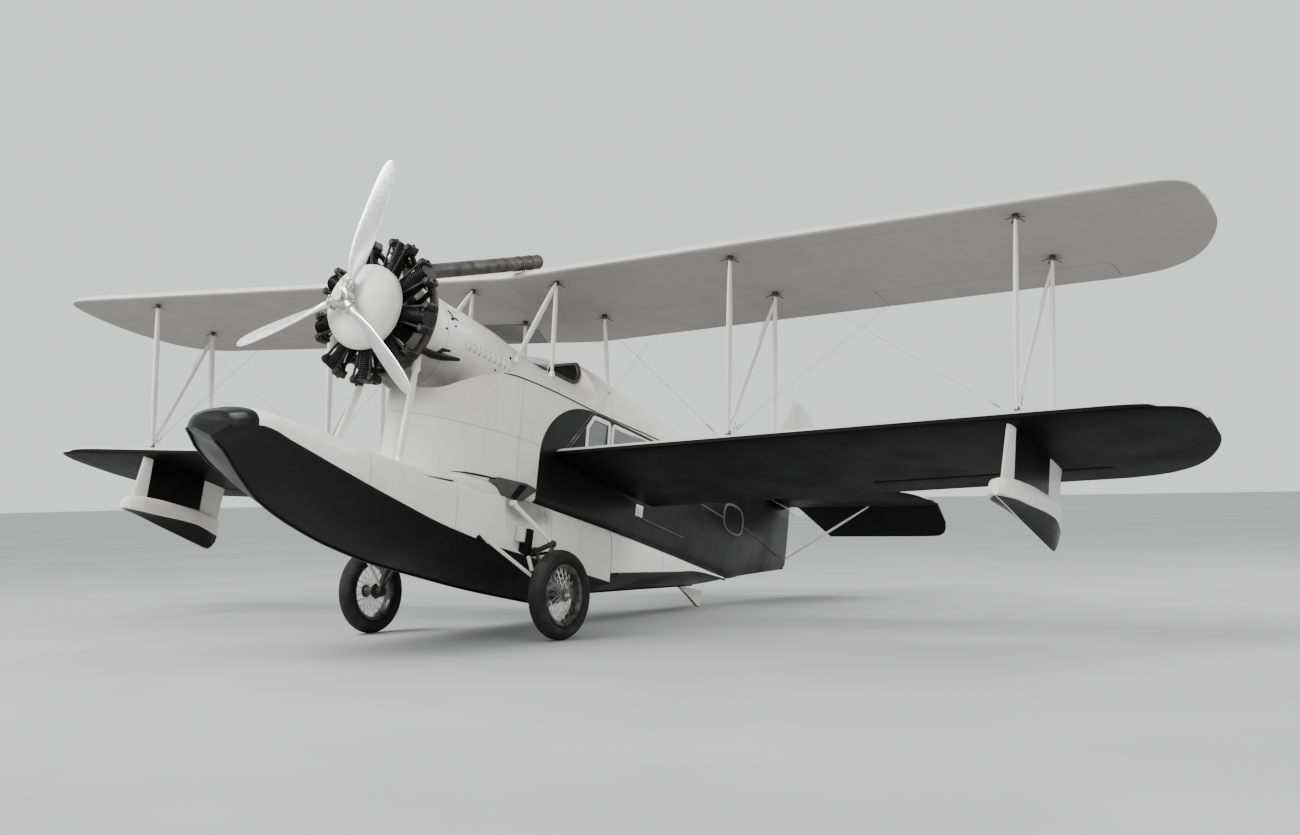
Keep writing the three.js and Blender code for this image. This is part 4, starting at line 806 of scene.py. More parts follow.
# %% Cockpit and hatch openings
# one half of the cockpit opening, from the front: out from the middle and aft
COCKPIT = [(0.24, 0.26), (0.30, 0.33), (0.36, 0.41), (0.41, 0.50), (0.43, 0.60), (0.425, 0.82),
           (0.37, 1.00), (0.30, 1.03)]
HATCH = {"front": 2.10, "rear": 2.79, "half": 0.505, "skin": 0.025, "gap": 0.005,
         "hinge": 0.060, "mid_z": -0.85, "lean": math.tan(math.radians(7.1))}


def opening(steps=4):
    """The whole outline of the cockpit opening, smoothed."""
    half = smooth_line(COCKPIT, steps)
    return half + [(-x, y) for x, y in reversed(half)]


def cockpit_well(shape):
    loft(shape, [[Vector((x, y, z)) for x, y in opening()] for z in (-1.30, 0)])


def leaned(y, z):
    """The hatch's ends stand square to its sloping hinge line."""
    return y + HATCH["lean"] * (z - HATCH["mid_z"])


def hatch_cut(shape, left, right, front, rear, low):
    corners = ((left, front), (right, front), (right, rear), (left, rear))
    loft(shape, [[Vector((x, leaned(y, z), z)) for x, y in corners] for z in (low, 0)])


half, front, rear, gap = (HATCH[key] for key in ("half", "front", "rear", "gap"))
hatch_hole = (hatch_cut, 0.02 - half, half - 0.02, front + 0.02, rear - 0.02, -1.3)
carve(deck, cutter(cockpit_well),
      cutter(hatch_cut, -half - gap, half + gap, front - gap, rear + gap, -1.15),
      cutter(hatch_cut, -half - 0.01, HATCH["hinge"] - half, front - gap, rear + gap, -1.15),
      cutter(*hatch_hole))
carve(cabin, cutter(cockpit_well), cutter(*hatch_hole))
print("deck with its openings:", len(deck.data.polygons), "faces")

# %% [markdown]
# The hatch lid is the same skin as the deck, 25 mm thick, cut to a rectangle. It is lofted from the
# deck's own rings so that it closes flush, and it carries a shallow rim and two strap hinges.

# %% Cabin hatch
shape = bmesh.new()
rings = []
for station in spread(HATCH["front"], HATCH["rear"], 12):
    arc = []
    for shrink in (0, HATCH["skin"]):
        points = []
        for share in spread(-1, 1, 25):
            x, y = -share * HATCH["half"], station
            for _ in range(4):
                row = fair(BODY, y)
                top = fair(TOP_LINE, y)[1] - shrink
                z = row[4] + (top - row[4]) * math.sqrt(1 - (x / (row[1] - shrink)) ** 2)
                y = leaned(station, z)
            points.append(Vector((x, y, z)))
        arc += points if shrink == 0 else points[::-1]
    rings.append(arc)
loft(shape, rings)
finished("cabin_hatch_lid", shape, "light_paint", plain_light, replaces=["cabin_hatch"],
         body="cabin_hatch")
shape = bmesh.new()
hinge = joint_named("cabin_hatch_hinge")
hinge_at = TO_LEVEL @ Vector(hinge["pos_m"])
hinge_way = TO_LEVEL.to_3x3() @ Vector(hinge["axis"])
for along in (-0.24, 0.24):
    centre = hinge_at + hinge_way * along
    turned(shape, [(0, -0.05), (0.009, -0.05), (0.009, 0.05), (0, 0.05)], centre, hinge_way, 20)
    strap = [centre, centre + Vector((0.05, 0, 0.012)), centre + Vector((0.14, 0, 0.083))]
    sweep(shape, strap, [0.016, 0.022, 0.014], 10, squash=0.25, long_axis=hinge_way)
finished("hatch_hinge_straps", shape, "light_paint", plain_light, body="cabin_hatch")

# %% [markdown]
# The nacelle is a tube from the engine's back plate to the deck. A simple bridge between a round
# ring and the half oval would pinch its flanks, so the whole section slides from one to the other.
# Painted shade on the nacelle's lower flanks is the same mask as black paint, only fainter and
# broken up by noise.

# %% Nacelle
# station, half width, top, bottom
NACELLE = [(-1.53, 0.430, -0.525, -1.400), (-1.35, 0.490, -0.548, -1.530),
           (-1.10, 0.517, -0.579, -1.580), (-0.90, 0.540, -0.603, -1.520),
           (-0.70, 0.560, -0.631, -1.430), (-0.45, 0.585, -0.665, -1.335),
           (-0.0503, 0.612, -0.768, -1.215)]


def nacelle_section(y):
    """Half width, top, widest height and bottom. Aft, the widest height sinks to the seam."""
    _, half, top, bottom = fair(NACELLE, y)
    body = fair(BODY, y)
    share = min(1.0, max(0.0, (y + 1.0) / 0.85))
    share = share * share * (3 - 2 * share)
    half = lerp(half, max(half, body[1] + 0.004), share)
    return half, top, lerp((top + bottom) / 2, body[4], share), bottom


def nacelle_ring(y):
    half, top, wide, bottom = nacelle_section(y)
    ring = []
    for k, a in enumerate(turns(64)):
        high = top - wide if k <= 32 else wide - bottom
        ring.append(Vector((half * math.cos(a), y, wide + high * math.sin(a))))
    return ring


def nacelle_x(y, z):
    """How far out the nacelle's skin is at a point of it."""
    half, top, wide, bottom = nacelle_section(y)
    share = (z - wide) / ((top - wide) if z > wide else (wide - bottom))
    return half * math.sqrt(max(0.0, 1 - share * share))


def nacelle_painted_shade(finish, x, y, z):
    """Painted shade on the forward flanks of the nacelle, darkest low down."""
    low = 1 - finish.step(z, -1.46, -1.02)
    ahead = 1 - finish.step(y, -1.05, -0.50)
    return low * ahead * (finish.noise(3.2, 5) * 0.4 + 0.62)


nacelle_paint = enamel("nacelle_light", black=nacelle_painted_shade, seams=(-1.30, -0.55))
rings = [nacelle_ring(y) for y in spread(NACELLE[0][0], NACELLE[-1][0], 30)]
lofted("engine_nacelle_skin", rings, "light_paint", nacelle_paint, replaces=["engine_nacelle"])

# %% [markdown]
# Small things on the nacelle's flanks: a row of half-round louvres with a dark slot under each, a
# lacing strip along the seam, and a dark elbow that leads cooling air out from behind the engine.
# They could be bumps in the paint, but these stand proud and throw shadows, so they are swept.

# %% Louvres, seam strip and elbow
louvres, dark_slots, elbows = bmesh.new(), bmesh.new(), bmesh.new()
LOUVRES, LOUVRE_WIDTH = 9, 0.030
ELBOW = ((0.43, -1.60, -1.255), (0.49, -1.50, -1.285), (0.525, -1.38, -1.28),
         (0.545, -1.27, -1.262), (0.555, -1.17, -1.248))
BRANCH = ((0.51, -1.46, -1.28), (0.54, -1.40, -1.215), (0.56, -1.32, -1.205))


def on_nacelle(side, points, lift):
    """Points (y, z) of the nacelle's skin, lifted off it a little."""
    return [Vector((side * (nacelle_x(y, z) + lift), y, z)) for y, z in points]


def louvre(side, share):
    y, top_z, low_z = (lerp(*ends, share) for ends in ((-1.04, -0.46), (-1.02, -1.06),
                                                       (-1.11, -1.16)))
    line = [(y, lerp(top_z, low_z, t)) for t in spread(0, 1, 5)]
    sweep(louvres, on_nacelle(side, line, 0.004), [0.008, 0.022, 0.025, 0.022, 0.008], 14,
          squash=0.9, long_axis=AFT)
    # Painted shade: the dark rod behind each louvre stands where its slot lies in shade.
    behind = [(y + LOUVRE_WIDTH, z) for y, z in line]
    sweep(dark_slots, on_nacelle(side, behind, 0.001), 0.0035, 8)


for _, side in SIDES:
    for k in range(LOUVRES):
        louvre(side, k / (LOUVRES - 1))
    strip = [fair(BODY, y) for y in spread(-0.62, 2.85, 36)]
    sweep(dark_slots, [(side * (row[1] + 0.004), row[0], row[4]) for row in strip], 0.0065, 8)
    for y, z, r in ((-1.24, -0.86, 0.016), (-1.20, -0.92, 0.012), (-0.42, -1.02, 0.016),
                    (-0.60, -1.19, 0.012), (-1.33, -0.98, 0.013)):
        turned(dark_slots, [(0, 0), (r, 0), (r, 0.006), (r * 0.5, 0.012), (0, 0.012)],
               on_nacelle(side, [(y, z)], -0.002)[0], (side, 0, 0), 16)
    hook = [(-1.27, -0.775), (-1.235, -0.80), (-1.21, -0.855), (-1.19, -0.83), (-1.15, -0.845)]
    sweep(dark_slots, on_nacelle(side, hook, 0.004), 0.007, 8)
    sweep(elbows, mirrored(side, ELBOW), [0.036, 0.040, 0.036, 0.026, 0.016], 18)
    sweep(elbows, mirrored(side, BRANCH), [0.022, 0.020, 0.012], 14)
finished("nacelle_louvres", louvres, "light_paint", plain_light)
finished("nacelle_dark_fittings_and_slot_shade", dark_slots, "black_paint", plain_black)
finished("nacelle_elbows", elbows, "black_paint", plain_black)

# %% [markdown]
# ## Engine
# A nine-cylinder radial. One cylinder is made in full: a finned barrel and a finned head, both
# turned from a saw-tooth profile, two rocker boxes, two pushrod tubes, spark plugs and their leads.
# Spinning that geometry round the shaft with duplicates gives the other eight.

# %% Engine measures
SHAFT = Vector((0, 0, -0.925))
CYLINDERS = 9
ENGINE_Y = -1.80
FIRST_CYLINDER = math.radians(70)
engine_black = two_tone("engine_black_enamel", (11, 4, 0.4, 0.75), grey(0.006), grey(0.022, 1.05),
                        (60, 4, 0.3, 0.75), 0.3, 0.3, Metallic=0.2, Specular_IOR_Level=0.3)
engine_black.bump(engine_black.noise(240, 3), 0.001, 0.4)


def round_the_shaft(shape):
    """Repeat one upright cylinder's parts, and turn the first to its place."""
    geometry = shape.verts[:] + shape.edges[:] + shape.faces[:]
    bmesh.ops.spin(shape, geom=geometry, cent=SHAFT, axis=AFT, steps=CYLINDERS - 1,
                   angle=2 * math.pi * (CYLINDERS - 1) / CYLINDERS, use_duplicate=True)
    turn = Matrix.Rotation(math.pi / 2 - FIRST_CYLINDER, 3, "Y")
    bmesh.ops.rotate(shape, cent=SHAFT, matrix=turn, verts=shape.verts)


def fins(low, high, count, core, tip):
    """A saw-tooth profile: fins between two heights, closed on the axis at both ends."""
    profile = [(0, low)]
    pitch = (high - low) / count
    for i in range(count):
        at = low + i * pitch
        profile += [(core, at), (core, at + pitch * 0.45), (tip, at + pitch * 0.55),
                    (tip, at + pitch * 0.8), (core, at + pitch * 0.9)]
    return profile + [(core, high), (0, high)]


print(CYLINDERS, "cylinders round a shaft at z", SHAFT.z)


# %% One cylinder
shape = bmesh.new()
at = SHAFT + Vector((0, ENGINE_Y, 0))
turned(shape, fins(0.24, 0.50, 13, 0.076, 0.093), at, UP, 28)
head = bmesh.new()
turned(head, fins(0.50, 0.69, 9, 0.078, 0.095), (0, 0, 0), UP, 28)
oval = Matrix.Translation(at) @ Matrix.Diagonal((0.86, 1.02, 1, 1))
bmesh.ops.transform(head, matrix=oval, verts=head.verts)
merge(shape, head)
for side in (-1, 1):
    rocker = bmesh.new()
    block(rocker, (-0.036, -0.072, -0.042), (0.036, 0.066, 0.040), 0.016, 3)
    cap = [(0, -0.085), (0.024, -0.085), (0.030, -0.078), (0.030, -0.066), (0, -0.066)]
    turned(rocker, cap, (0, 0, 0.002), AFT, 20)
    nut = [(0, 0.036), (0.015, 0.036), (0.015, 0.050), (0.010, 0.054), (0, 0.054)]
    turned(rocker, nut, (0, 0, 0), UP, 8)
    tilt = Matrix.Rotation(side * 0.16, 4, "Y")
    tilt = Matrix.Translation(at + Vector((side * 0.108, 0, 0.668))) @ tilt
    bmesh.ops.transform(rocker, matrix=tilt, verts=rocker.verts)
    merge(shape, rocker)
    port = ((0.03, 0.0, 0.60), (0.075, 0.0, 0.628), (0.10, 0.0, 0.65))
    sweep(shape, mirrored(side, port, at), [0.052, 0.046, 0.036], 16, squash=1.2, long_axis=UP)
    pushrod = ((0.045, -0.072, 0.235), (0.103, -0.068, 0.645))
    sweep(shape, mirrored(side, pushrod, at), 0.0125, 12)
    plug = [(0, 0), (0.012, 0), (0.012, 0.03), (0.008, 0.035), (0.008, 0.06), (0, 0.06)]
    turned(shape, plug, at + Vector((side * 0.07, side * 0.03, 0.56)), (side, 0, 0.25), 10)
intake = ((0.09, 0.05, 0.62), (0.10, 0.12, 0.56), (0.09, 0.16, 0.42), (0.06, 0.17, 0.25))
sweep(shape, mirrored(1, intake, at), 0.028, 14)
print("one cylinder:", len(shape.faces), "faces")

# %% All cylinders and the crankcase
round_the_shaft(shape)
crankcase = [(0, -1.8944), (0.20, -1.8944), (0.245, -1.865), (0.255, -1.80), (0.255, -1.62),
             (0.30, -1.59), (0.30, -1.5306), (0, -1.5306)]
turned(shape, crankcase, SHAFT, AFT, 54)
finished("engine_cylinders", shape, "engine_black", engine_black, crease=28,
         replaces=["engine"])

# %% [markdown]
# Bare metal parts of the engine catch the light: plugs, nuts at the cylinder feet, the ignition
# ring and its leads, and the propeller shaft with its threads.

# %% Ignition ring, leads and shaft
steel = two_tone("machined_steel", (24, 4, 0.4, 0.7), grey(0.55), grey(0.32, 1.04),
                 (90, 3, 0.3, 0.7), 0.22, 0.2, Metallic=1.0)
shape = bmesh.new()
turned(shape, hoop(0.285, 0.014, -1.860, 10), SHAFT, AFT, 72, closed=True)
lead = ((0, -1.86, 0.30), (-0.04, -1.875, 0.36), (-0.085, -1.85, 0.47), (-0.10, -1.83, 0.565))
sweep(shape, mirrored(1, lead, SHAFT), 0.0055, 8)
for k in range(8):
    a = math.radians(45 * k + 22)
    nut = [(0, 0), (0.011, 0), (0.011, 0.014), (0.006, 0.014), (0.006, 0.024), (0, 0.024)]
    foot = (0.098 * math.cos(a), ENGINE_Y + 0.098 * math.sin(a), SHAFT.z + 0.246)
    turned(shape, nut, foot, UP, 6)
round_the_shaft(shape)
shaft_profile = [(0, -2.1897), (0.045, -2.1897), (0.045, -2.10), (0.052, -2.095),
                 (0.052, -1.89), (0, -1.89)]
turned(shape, shaft_profile, SHAFT, AFT, 32)
finished("engine_bright_parts", shape, "painted_steel", steel, crease=35)

# %% [markdown]
# In front of the crankcase sits a big white dome, beaten from sheet. It is turned in one go, and a
# ring of small screw heads holds its rim.

# %% Nose bowl
bowl_paint = enamel("bowl_white", seams=(-1.93,), half_seam=0.003, rivets=False)
shape = bmesh.new()
bowl = smooth_line([(0.0455, -2.176), (0.11, -2.173), (0.195, -2.162), (0.275, -2.135),
                    (0.342, -2.095), (0.392, -2.035), (0.414, -1.965), (0.404, -1.90)], 4)
back = [(0.396, -1.8955), (0.30, -1.8955), (0.0455, -1.8955)]
turned(shape, [*bowl, *back], SHAFT, AFT, 108, closed=True)
for k in range(CYLINDERS):
    a = FIRST_CYLINDER + 2 * math.pi * (k + 0.5) / CYLINDERS
    screw = [(0, -0.004), (0.010, -0.003), (0.010, 0.012), (0, 0.012)]
    place = SHAFT + Vector((0.398 * math.cos(a), -1.995, 0.398 * math.sin(a)))
    turned(shape, screw, place, AFT, 12)
finished("nose_bowl_skin", shape, "light_paint", bowl_paint, replaces=["nose_bowl"])

# %% [markdown]
# The exhaust is steel that heat has turned brown and grey: a ring behind the cylinders with a stub
# to each, and one long straight tail pipe above the upper wing. The pipe is open at its end.

# %% Exhaust
burnt = two_tone("burnt_steel", (9, 6, 0.3, 0.7), grey(0.030, 1.10), grey(0.075, 1.08),
                 (46, 4, 0.3, 0.7), 0.42, 0.3, Metallic=0.5)
burnt.bump(burnt.noise(120, 4), 0.0015, 0.4)
RING = {"radius": 0.54, "tube": 0.042, "y": -1.60}
shape = bmesh.new()
turned(shape, hoop(RING["radius"], RING["tube"], RING["y"], 20), SHAFT, AFT, 90, closed=True)
for k in range(CYLINDERS):
    a = FIRST_CYLINDER + 2 * math.pi * k / CYLINDERS
    out = Vector((math.cos(a), 0, math.sin(a)))
    stub = [SHAFT + out * RING["radius"] + Vector((0, y, 0)) + out * lift
            for y, lift in ((RING["y"], 0), (-1.65, 0.005), (-1.7297, 0.04))]
    sweep(shape, stub, [0.034, 0.028, 0.026], 16)
print("collector ring and stubs:", len(shape.faces), "faces")

# %% Tail pipe
PIPE = 0.075
pipe_start, pipe_end = Vector((0.15, RING["y"], -0.490)), Vector((0.15, 0.345, 0.283))
way = (pipe_end - pipe_start).normalized()
length = (pipe_end - pipe_start).length
profile = [(0.0, 0), (PIPE, 0.0)]
for seam in (0.42, 0.95, 1.48):
    profile += [(PIPE, seam - 0.012), (PIPE + 0.0015, seam - 0.008),
                (PIPE + 0.0015, seam + 0.008), (PIPE, seam + 0.012)]
profile += [(PIPE, length - 0.012), (PIPE + 0.002, length - 0.006), (PIPE + 0.0005, length),
            (PIPE - 0.005, length), (PIPE - 0.006, length - 0.3), (0, length - 0.3)]
turned(shape, profile, pipe_start, way, 36)
band = [(PIPE + 0.0005, -0.014), (PIPE + 0.0045, -0.014), (PIPE + 0.0045, 0.014),
        (PIPE + 0.0005, 0.014)]
for share, foot_y, foot_z in ((0.835, 0.055, 0.078), (0.925, 0.215, 0.122)):
    centre = pipe_start.lerp(pipe_end, share)
    turned(shape, band, centre, way, 36, closed=True)
    for lean in (-0.05, 0.05):
        sweep(shape, [centre + Vector((lean * 1.1, 0, -0.055)),
                      Vector((centre.x + lean, foot_y, foot_z))], 0.007, 8)
finished("exhaust_pipes", shape, "exhaust_steel", burnt, replaces=["exhaust"])

# %% [markdown]
# ## Propeller
# Three forged alloy blades in a split steel hub. A blade is a loft of thin aerofoils that twist
# from the hub to the tip; its root is a round shank that the hub's sleeves clamp.

# %% Propeller
PROP_Y = -2.25
FIRST_BLADE = 75.5
# distance out, half chord, half thickness, pitch in degrees
BLADE = [(0.06, 0.042, 0.042, 60), (0.20, 0.045, 0.036, 56), (0.34, 0.078, 0.024, 48),
         (0.60, 0.100, 0.015, 36), (0.95, 0.095, 0.010, 26), (1.20, 0.078, 0.007, 21),
         (1.32, 0.052, 0.005, 19), (1.352, 0.030, 0.004, 18.5), (1.365, 0.012, 0.003, 18)]
alloy = two_tone("forged_alloy", (3.5, 4, 0.35, 0.75), grey(0.88), grey(0.74),
                 (30, 4, 0.3, 0.7), 0.30, 0.16, Metallic=1.0)
alloy.bump(alloy.noise(150, 2), 0.0004, 0.3)


def blade_ways(k):
    """Blade k's direction outwards, and the direction its section lies along."""
    angle = math.radians(FIRST_BLADE + 120 * k)
    out = Vector((math.cos(angle), 0, math.sin(angle)))
    return out, Vector((-out.z, 0, out.x))


def blade_ring(reach, out, side):
    """An aerofoil at some distance out, flatter behind than in front and turned to its pitch."""
    _, chord, thick, pitch = fair(BLADE, reach)
    tilt = math.radians(90 - pitch)
    flat = min(1, max(0, (reach - 0.2) / 0.2))
    ring = []
    for a in turns(28):
        u, w = chord * math.cos(a), thick * math.sin(a) * (1 + 0.3 * flat * math.cos(a))
        w = w * (1.25 if w < 0 else 0.75) if flat else w
        ring.append(SHAFT + out * reach + side * (u * math.sin(tilt) + w * math.cos(tilt))
                    + Vector((0, PROP_Y + w * math.sin(tilt) - u * math.cos(tilt), 0)))
    return ring


shape = bmesh.new()
for k in range(3):
    reaches = sorted({*spread(0.06, 1.32, 30), 1.338, 1.352, 1.36, 1.365})
    loft(shape, [blade_ring(reach, *blade_ways(k)) for reach in reaches])
finished("propeller_blades", shape, "polished_alloy", alloy, replaces=["propeller"],
         body="propeller")

# %% Propeller hub
shape = bmesh.new()
hub = SHAFT + Vector((0, PROP_Y, 0))
barrel = [(0, -0.095), (0.052, -0.095), (0.060, -0.088), (0.060, -0.062), (0.088, -0.058),
          (0.095, -0.05), (0.095, 0.05), (0.088, 0.055), (0.06, 0.06), (0, 0.06)]
turned(shape, barrel, hub, AFT, 48)
sleeve = [(0, 0.05), (0.056, 0.05), (0.056, 0.135), (0.064, 0.137), (0.064, 0.165),
          (0.058, 0.168), (0.050, 0.17), (0.044, 0.185), (0, 0.185)]
for k in range(3):
    out, side = blade_ways(k)
    turned(shape, sleeve, hub, out, 32)
    for s in (-1, 1):
        bolt = hub + out * 0.15 + side * s * 0.066
        sweep(shape, [bolt + Vector((0, -0.035, 0)), bolt + Vector((0, 0.035, 0))], 0.009, 8)
finished("propeller_hub", shape, "polished_alloy", steel, body="propeller")

# %% [markdown]
# ## Wings
# The wings are doped fabric over wooden ribs. The fabric sinks a few millimetres between the ribs,
# so the loft has a ring on each rib and shallower rings between them. A UV map called sheet holds
# the distance along the span and round the section in metres, and the finish draws rib tapes and
# the weave on it.

# %% Wing section
CHORD = 1.85
INCIDENCE = math.radians(4.4)
RIB_PITCH = 0.36
FRONT_SPAR, REAR_SPAR = 0.20, 1.13
# leading edge y and z, root, dihedral in degrees
WINGS = {"upper": (0.0, 0.0, 0.00015, 2.5), "lower": (0.283, -1.863, 0.730, 2.4)}
# span, leading edge, trailing edge
TIP = [(5.975, 0, 1.85), (6.30, 0, 1.80), (6.60, 0.004, 1.665), (6.80, 0.016, 1.48),
       (6.95, 0.055, 1.245), (7.05, 0.13, 1.02), (7.095, 0.24, 0.85), (7.11, 0.40, 0.69)]
TIP_RINGS = (5.975, 6.06, 6.14, 6.22, 6.30, 6.38, 6.46, 6.53, 6.60, 6.67, 6.74, 6.80, 6.85, 6.90,
             6.95, 6.99, 7.02, 7.05, 7.075, 7.095, 7.106, 7.11)
AILERON = {"inner": 3.56, "outer": 5.96, "hinge": 1.48, "nose": 0.038, "z": 0.026, "gap": 0.006,
           "round": 0.0385}
BAY = AILERON["hinge"] - AILERON["nose"] - AILERON["gap"]


def wing_matrix(which, side):
    lead_y, lead_z, _, dihedral = WINGS[which]
    return (LEVEL @ Matrix.Translation((0, lead_y, lead_z)) @ Matrix.Rotation(-INCIDENCE, 4, "X")
            @ Matrix.Rotation(-side * math.radians(dihedral), 4, "Y"))


def section(share):
    """Top and bottom of the wing's aerofoil at a share of its chord."""
    s = math.sqrt(share)
    full = 5 * (0.2969 * s - 0.126 * share - 0.3516 * share ** 2
                + 0.2843 * share ** 3 - 0.1036 * share ** 4) * 0.1 * CHORD
    return 1.64 * full + 0.003 * share, -0.36 * full - 0.003 * share


SHARES = [0.5 - 0.5 * math.cos(math.pi * k / 26) for k in range(27)]


def wing_ring(side, x, lead, trail, sag=0.0, bay=None):
    """The section at x. Aft of a bay the ring stays on the aileron bay's wall."""
    thin = min(1, (trail - lead) / CHORD + 0.05)
    upper, lower = [], []
    for share in SHARES:
        y = lead + share * (trail - lead)
        high, low = section(share)
        slack = 1 - sag * min(1, max(0, (share - 0.1) / 0.2)) * (1 - share ** 6)
        high, low = high * thin * slack, low * thin * slack
        if bay and y > bay:
            top_high, top_low = section((bay - lead) / (trail - lead))
            share_down = (y - bay) / (trail - bay)
            high = lerp(top_high, AILERON["z"], share_down)
            low = lerp(top_low, AILERON["z"], share_down)
            y = bay
        upper.append(Vector((side * x, y, high)))
        lower.append(Vector((side * x, y, low)))
    return upper + lower[:0:-1]


def sheet_uv(co, normal):
    return (co.x, co.y if normal.z > 0 else -co.y)


# %% [markdown]
# Doped fabric shows its ribs as soft bands, a tape over each with its stitches, and the two spars
# as faint shadows. All of it is drawn on the sheet map, in metres, so it follows the wing round its
# nose. An image would do the same, but these masks stay sharp and need no file. The nose of the
# wing stays light on a black underside.


# %% Doped fabric
def fabric(name, under_black):
    finish = Finish(name, Specular_IOR_Level=0.06 if under_black else 0.12)
    u, v, _ = finish.sheet()
    bay = (abs(u) / RIB_PITCH + 0.5) % 1
    tape = finish.line(bay, 0.5, 0.05)
    stitch = finish.line((abs(v) / 0.06) % 1, 0.5, 0.2) * finish.line(bay, 0.5, 0.014)
    spar = either(*(finish.line(abs(v), at, 0.03) for at in (FRONT_SPAR, REAR_SPAR)))
    weave = finish.node("ShaderNodeTexWave", {"wave_type": "BANDS"}, Vector=finish.where(),
                        Scale=260, Distortion=1.5)
    cloud = finish.patches(2.1, 4, 0.35, 0.75)
    light = finish.mix(cloud * 0.45 + tape * 0.12, grey(0.60, 1.01), grey(0.47, 1.03))
    light = finish.mix(spar * 0.14, light, grey(0.30, 1.05))
    if under_black:
        dark = finish.mix(cloud * 0.6 + tape * 0.3, grey(0.0025), grey(0.006))
        colour = finish.mix(1 - finish.step(v, 0.014, 0.020), light, dark)
    else:
        # Painted shade: the underside of the light fabric is mixed towards a darker grey.
        shade = (1 - finish.step(v, -0.05, 0.01)) * 0.75
        colour = finish.mix(shade, light, grey(0.20, 1.02))
    finish.set(Base_Color=colour, Roughness=cloud * 0.12 + 0.46)
    return finish.bump(tape * 0.5 + stitch * 0.7 + weave * 0.05, 0.003, 0.35)


upper_fabric = fabric("doped_fabric_light", False)
lower_fabric = fabric("doped_fabric_two_tone", True)
print("fabric ready")


# %% [markdown]
# A wing's rings run from the root past the aileron's bay to the tip, where the chord shrinks along
# a rounded outline. The aileron is a loft of its own with a round nose, because it has to turn.


# %% Wing skins and ailerons
def wing_stations(inner, outer):
    """Six rings to a rib bay, with the sag of the fabric at each."""
    marks = [(inner, 0.0)]
    for k in range(math.ceil(inner / RIB_PITCH), int(outer / RIB_PITCH) + 1):
        for off, sag in ((-0.18, 0.035), (-0.09, 0.026), (-0.02, 0.004), (0.0, 0.0),
                         (0.02, 0.004), (0.09, 0.026)):
            x = k * RIB_PITCH + off
            if inner + 0.01 < x < outer - 0.01:
                marks.append((x, sag))
    return marks + [(outer, 0.0)]


def wing_rings(side, root, dihedral):
    inner, outer = AILERON["inner"], AILERON["outer"]
    rings = [wing_ring(side, x, 0, CHORD, sag) for x, sag in wing_stations(root, inner)]
    for vert in rings[0]:
        vert.x = side * (root + vert.z * math.tan(math.radians(dihedral)))
    rings += [wing_ring(side, x, 0, CHORD, sag, BAY)
              for x, sag in wing_stations(inner + 0.0002, outer - 0.0002)]
    rings.append(wing_ring(side, outer, 0, CHORD))
    return rings + [wing_ring(side, x, *fair(TIP, x)[1:]) for x in TIP_RINGS]


def aileron_rings(side):
    rings = []
    for x, sag in wing_stations(AILERON["inner"] + AILERON["gap"],
                                AILERON["outer"] - AILERON["gap"]):
        upper, lower = [], []
        for share in spread(AILERON["hinge"] / CHORD, 1, 14):
            high, low = section(share)
            slack = 1 - sag * (1 - share ** 6)
            upper.append(Vector((side * x, share * CHORD, high * slack)))
            lower.append(Vector((side * x, share * CHORD, low * slack)))
        nose = [Vector((side * x, AILERON["hinge"] - AILERON["nose"] * math.sin(a),
                        AILERON["z"] - AILERON["round"] * math.cos(a)))
                for a in spread(0.12 * math.pi, 0.88 * math.pi, 9)]
        rings.append(upper + lower[::-1] + nose)
    return rings


for which, (_, _, root, dihedral) in WINGS.items():
    finish = upper_fabric if which == "upper" else lower_fabric
    slot = "doped_fabric_light" if which == "upper" else "doped_fabric_black"
    for name, side in SIDES:
        place, aileron = wing_matrix(which, side), f"aileron_{which}_{name}"
        lofted(f"{which}_wing_skin_{name}", wing_rings(side, root, dihedral), slot, finish, place,
               50, [f"{which}_wing_{name}"], sheet_uv)
        lofted(f"aileron_{which}_skin_{name}", aileron_rings(side), slot, finish, place,
               50, [aileron], sheet_uv, aileron)

# %% [markdown]
# A dark patch shows on the underside of the upper wing beside the nacelle, square at its inner end
# and narrowing aft. It is a thin doubler sheet that follows the fabric just below it: a flat sheet
# would dip into the wing, and the same tone as the shaded underside would hide it.

# %% Underside patch
# station, port edge
PATCH = [(1.20, -0.60), (1.22, -0.55), (1.26, -0.53), (1.40, -0.555), (1.60, -0.64), (1.83, -0.735)]
MIDDLE = -1.1
rings = []
for y in (1.20, 1.205, 1.22, *spread(1.24, 1.83, 12)):
    x, low = fair(PATCH, y)[1], section(y / CHORD)[1] - 0.0015
    far = 2 * MIDDLE - x
    rings.append([Vector((at, y, low - lift))
                  for at, lift in ((x, 0), (far, 0), (far, 0.003), (x, 0.003))])
patch_dark = enamel("patch_grey", black=lambda *where: all_black(*where) * 0.89)
lofted("wing_patch", rings, "black_paint", patch_dark, wing_matrix("upper", -1))

# %% [markdown]
# ## Struts and wires
# The struts are spindle-shaped and streamlined. Each end sits in a steel fork on a wing pad, where
# the bracing wires also meet, so every top end shows a small dark star of lugs.

# %% Strut ends on the wings
INNER, OUTER, CABANE = 2.612, 5.518, 0.55
PAD_PROUD = 0.0083


def pad(which, side, x, y):
    """The middle of a wing pad's face in the level frame, and the face's outward direction. Pads
    are on top of the lower wing and under the upper one."""
    matrix = TO_LEVEL @ wing_matrix(which, side)
    high, low = section(y / CHORD)
    z, way = (high + PAD_PROUD, 1) if which == "lower" else (low - PAD_PROUD, -1)
    return matrix @ Vector((side * x, y, z)), matrix.to_3x3() @ Vector((0, 0, way))


strut_paint = enamel("strut_light")
fork_steel = two_tone("fork_steel", (60, 3), grey(0.05), grey(0.12, 1.05), (80, 3), 0.3, 0.3,
                      Metallic=0.6)
forks = bmesh.new()


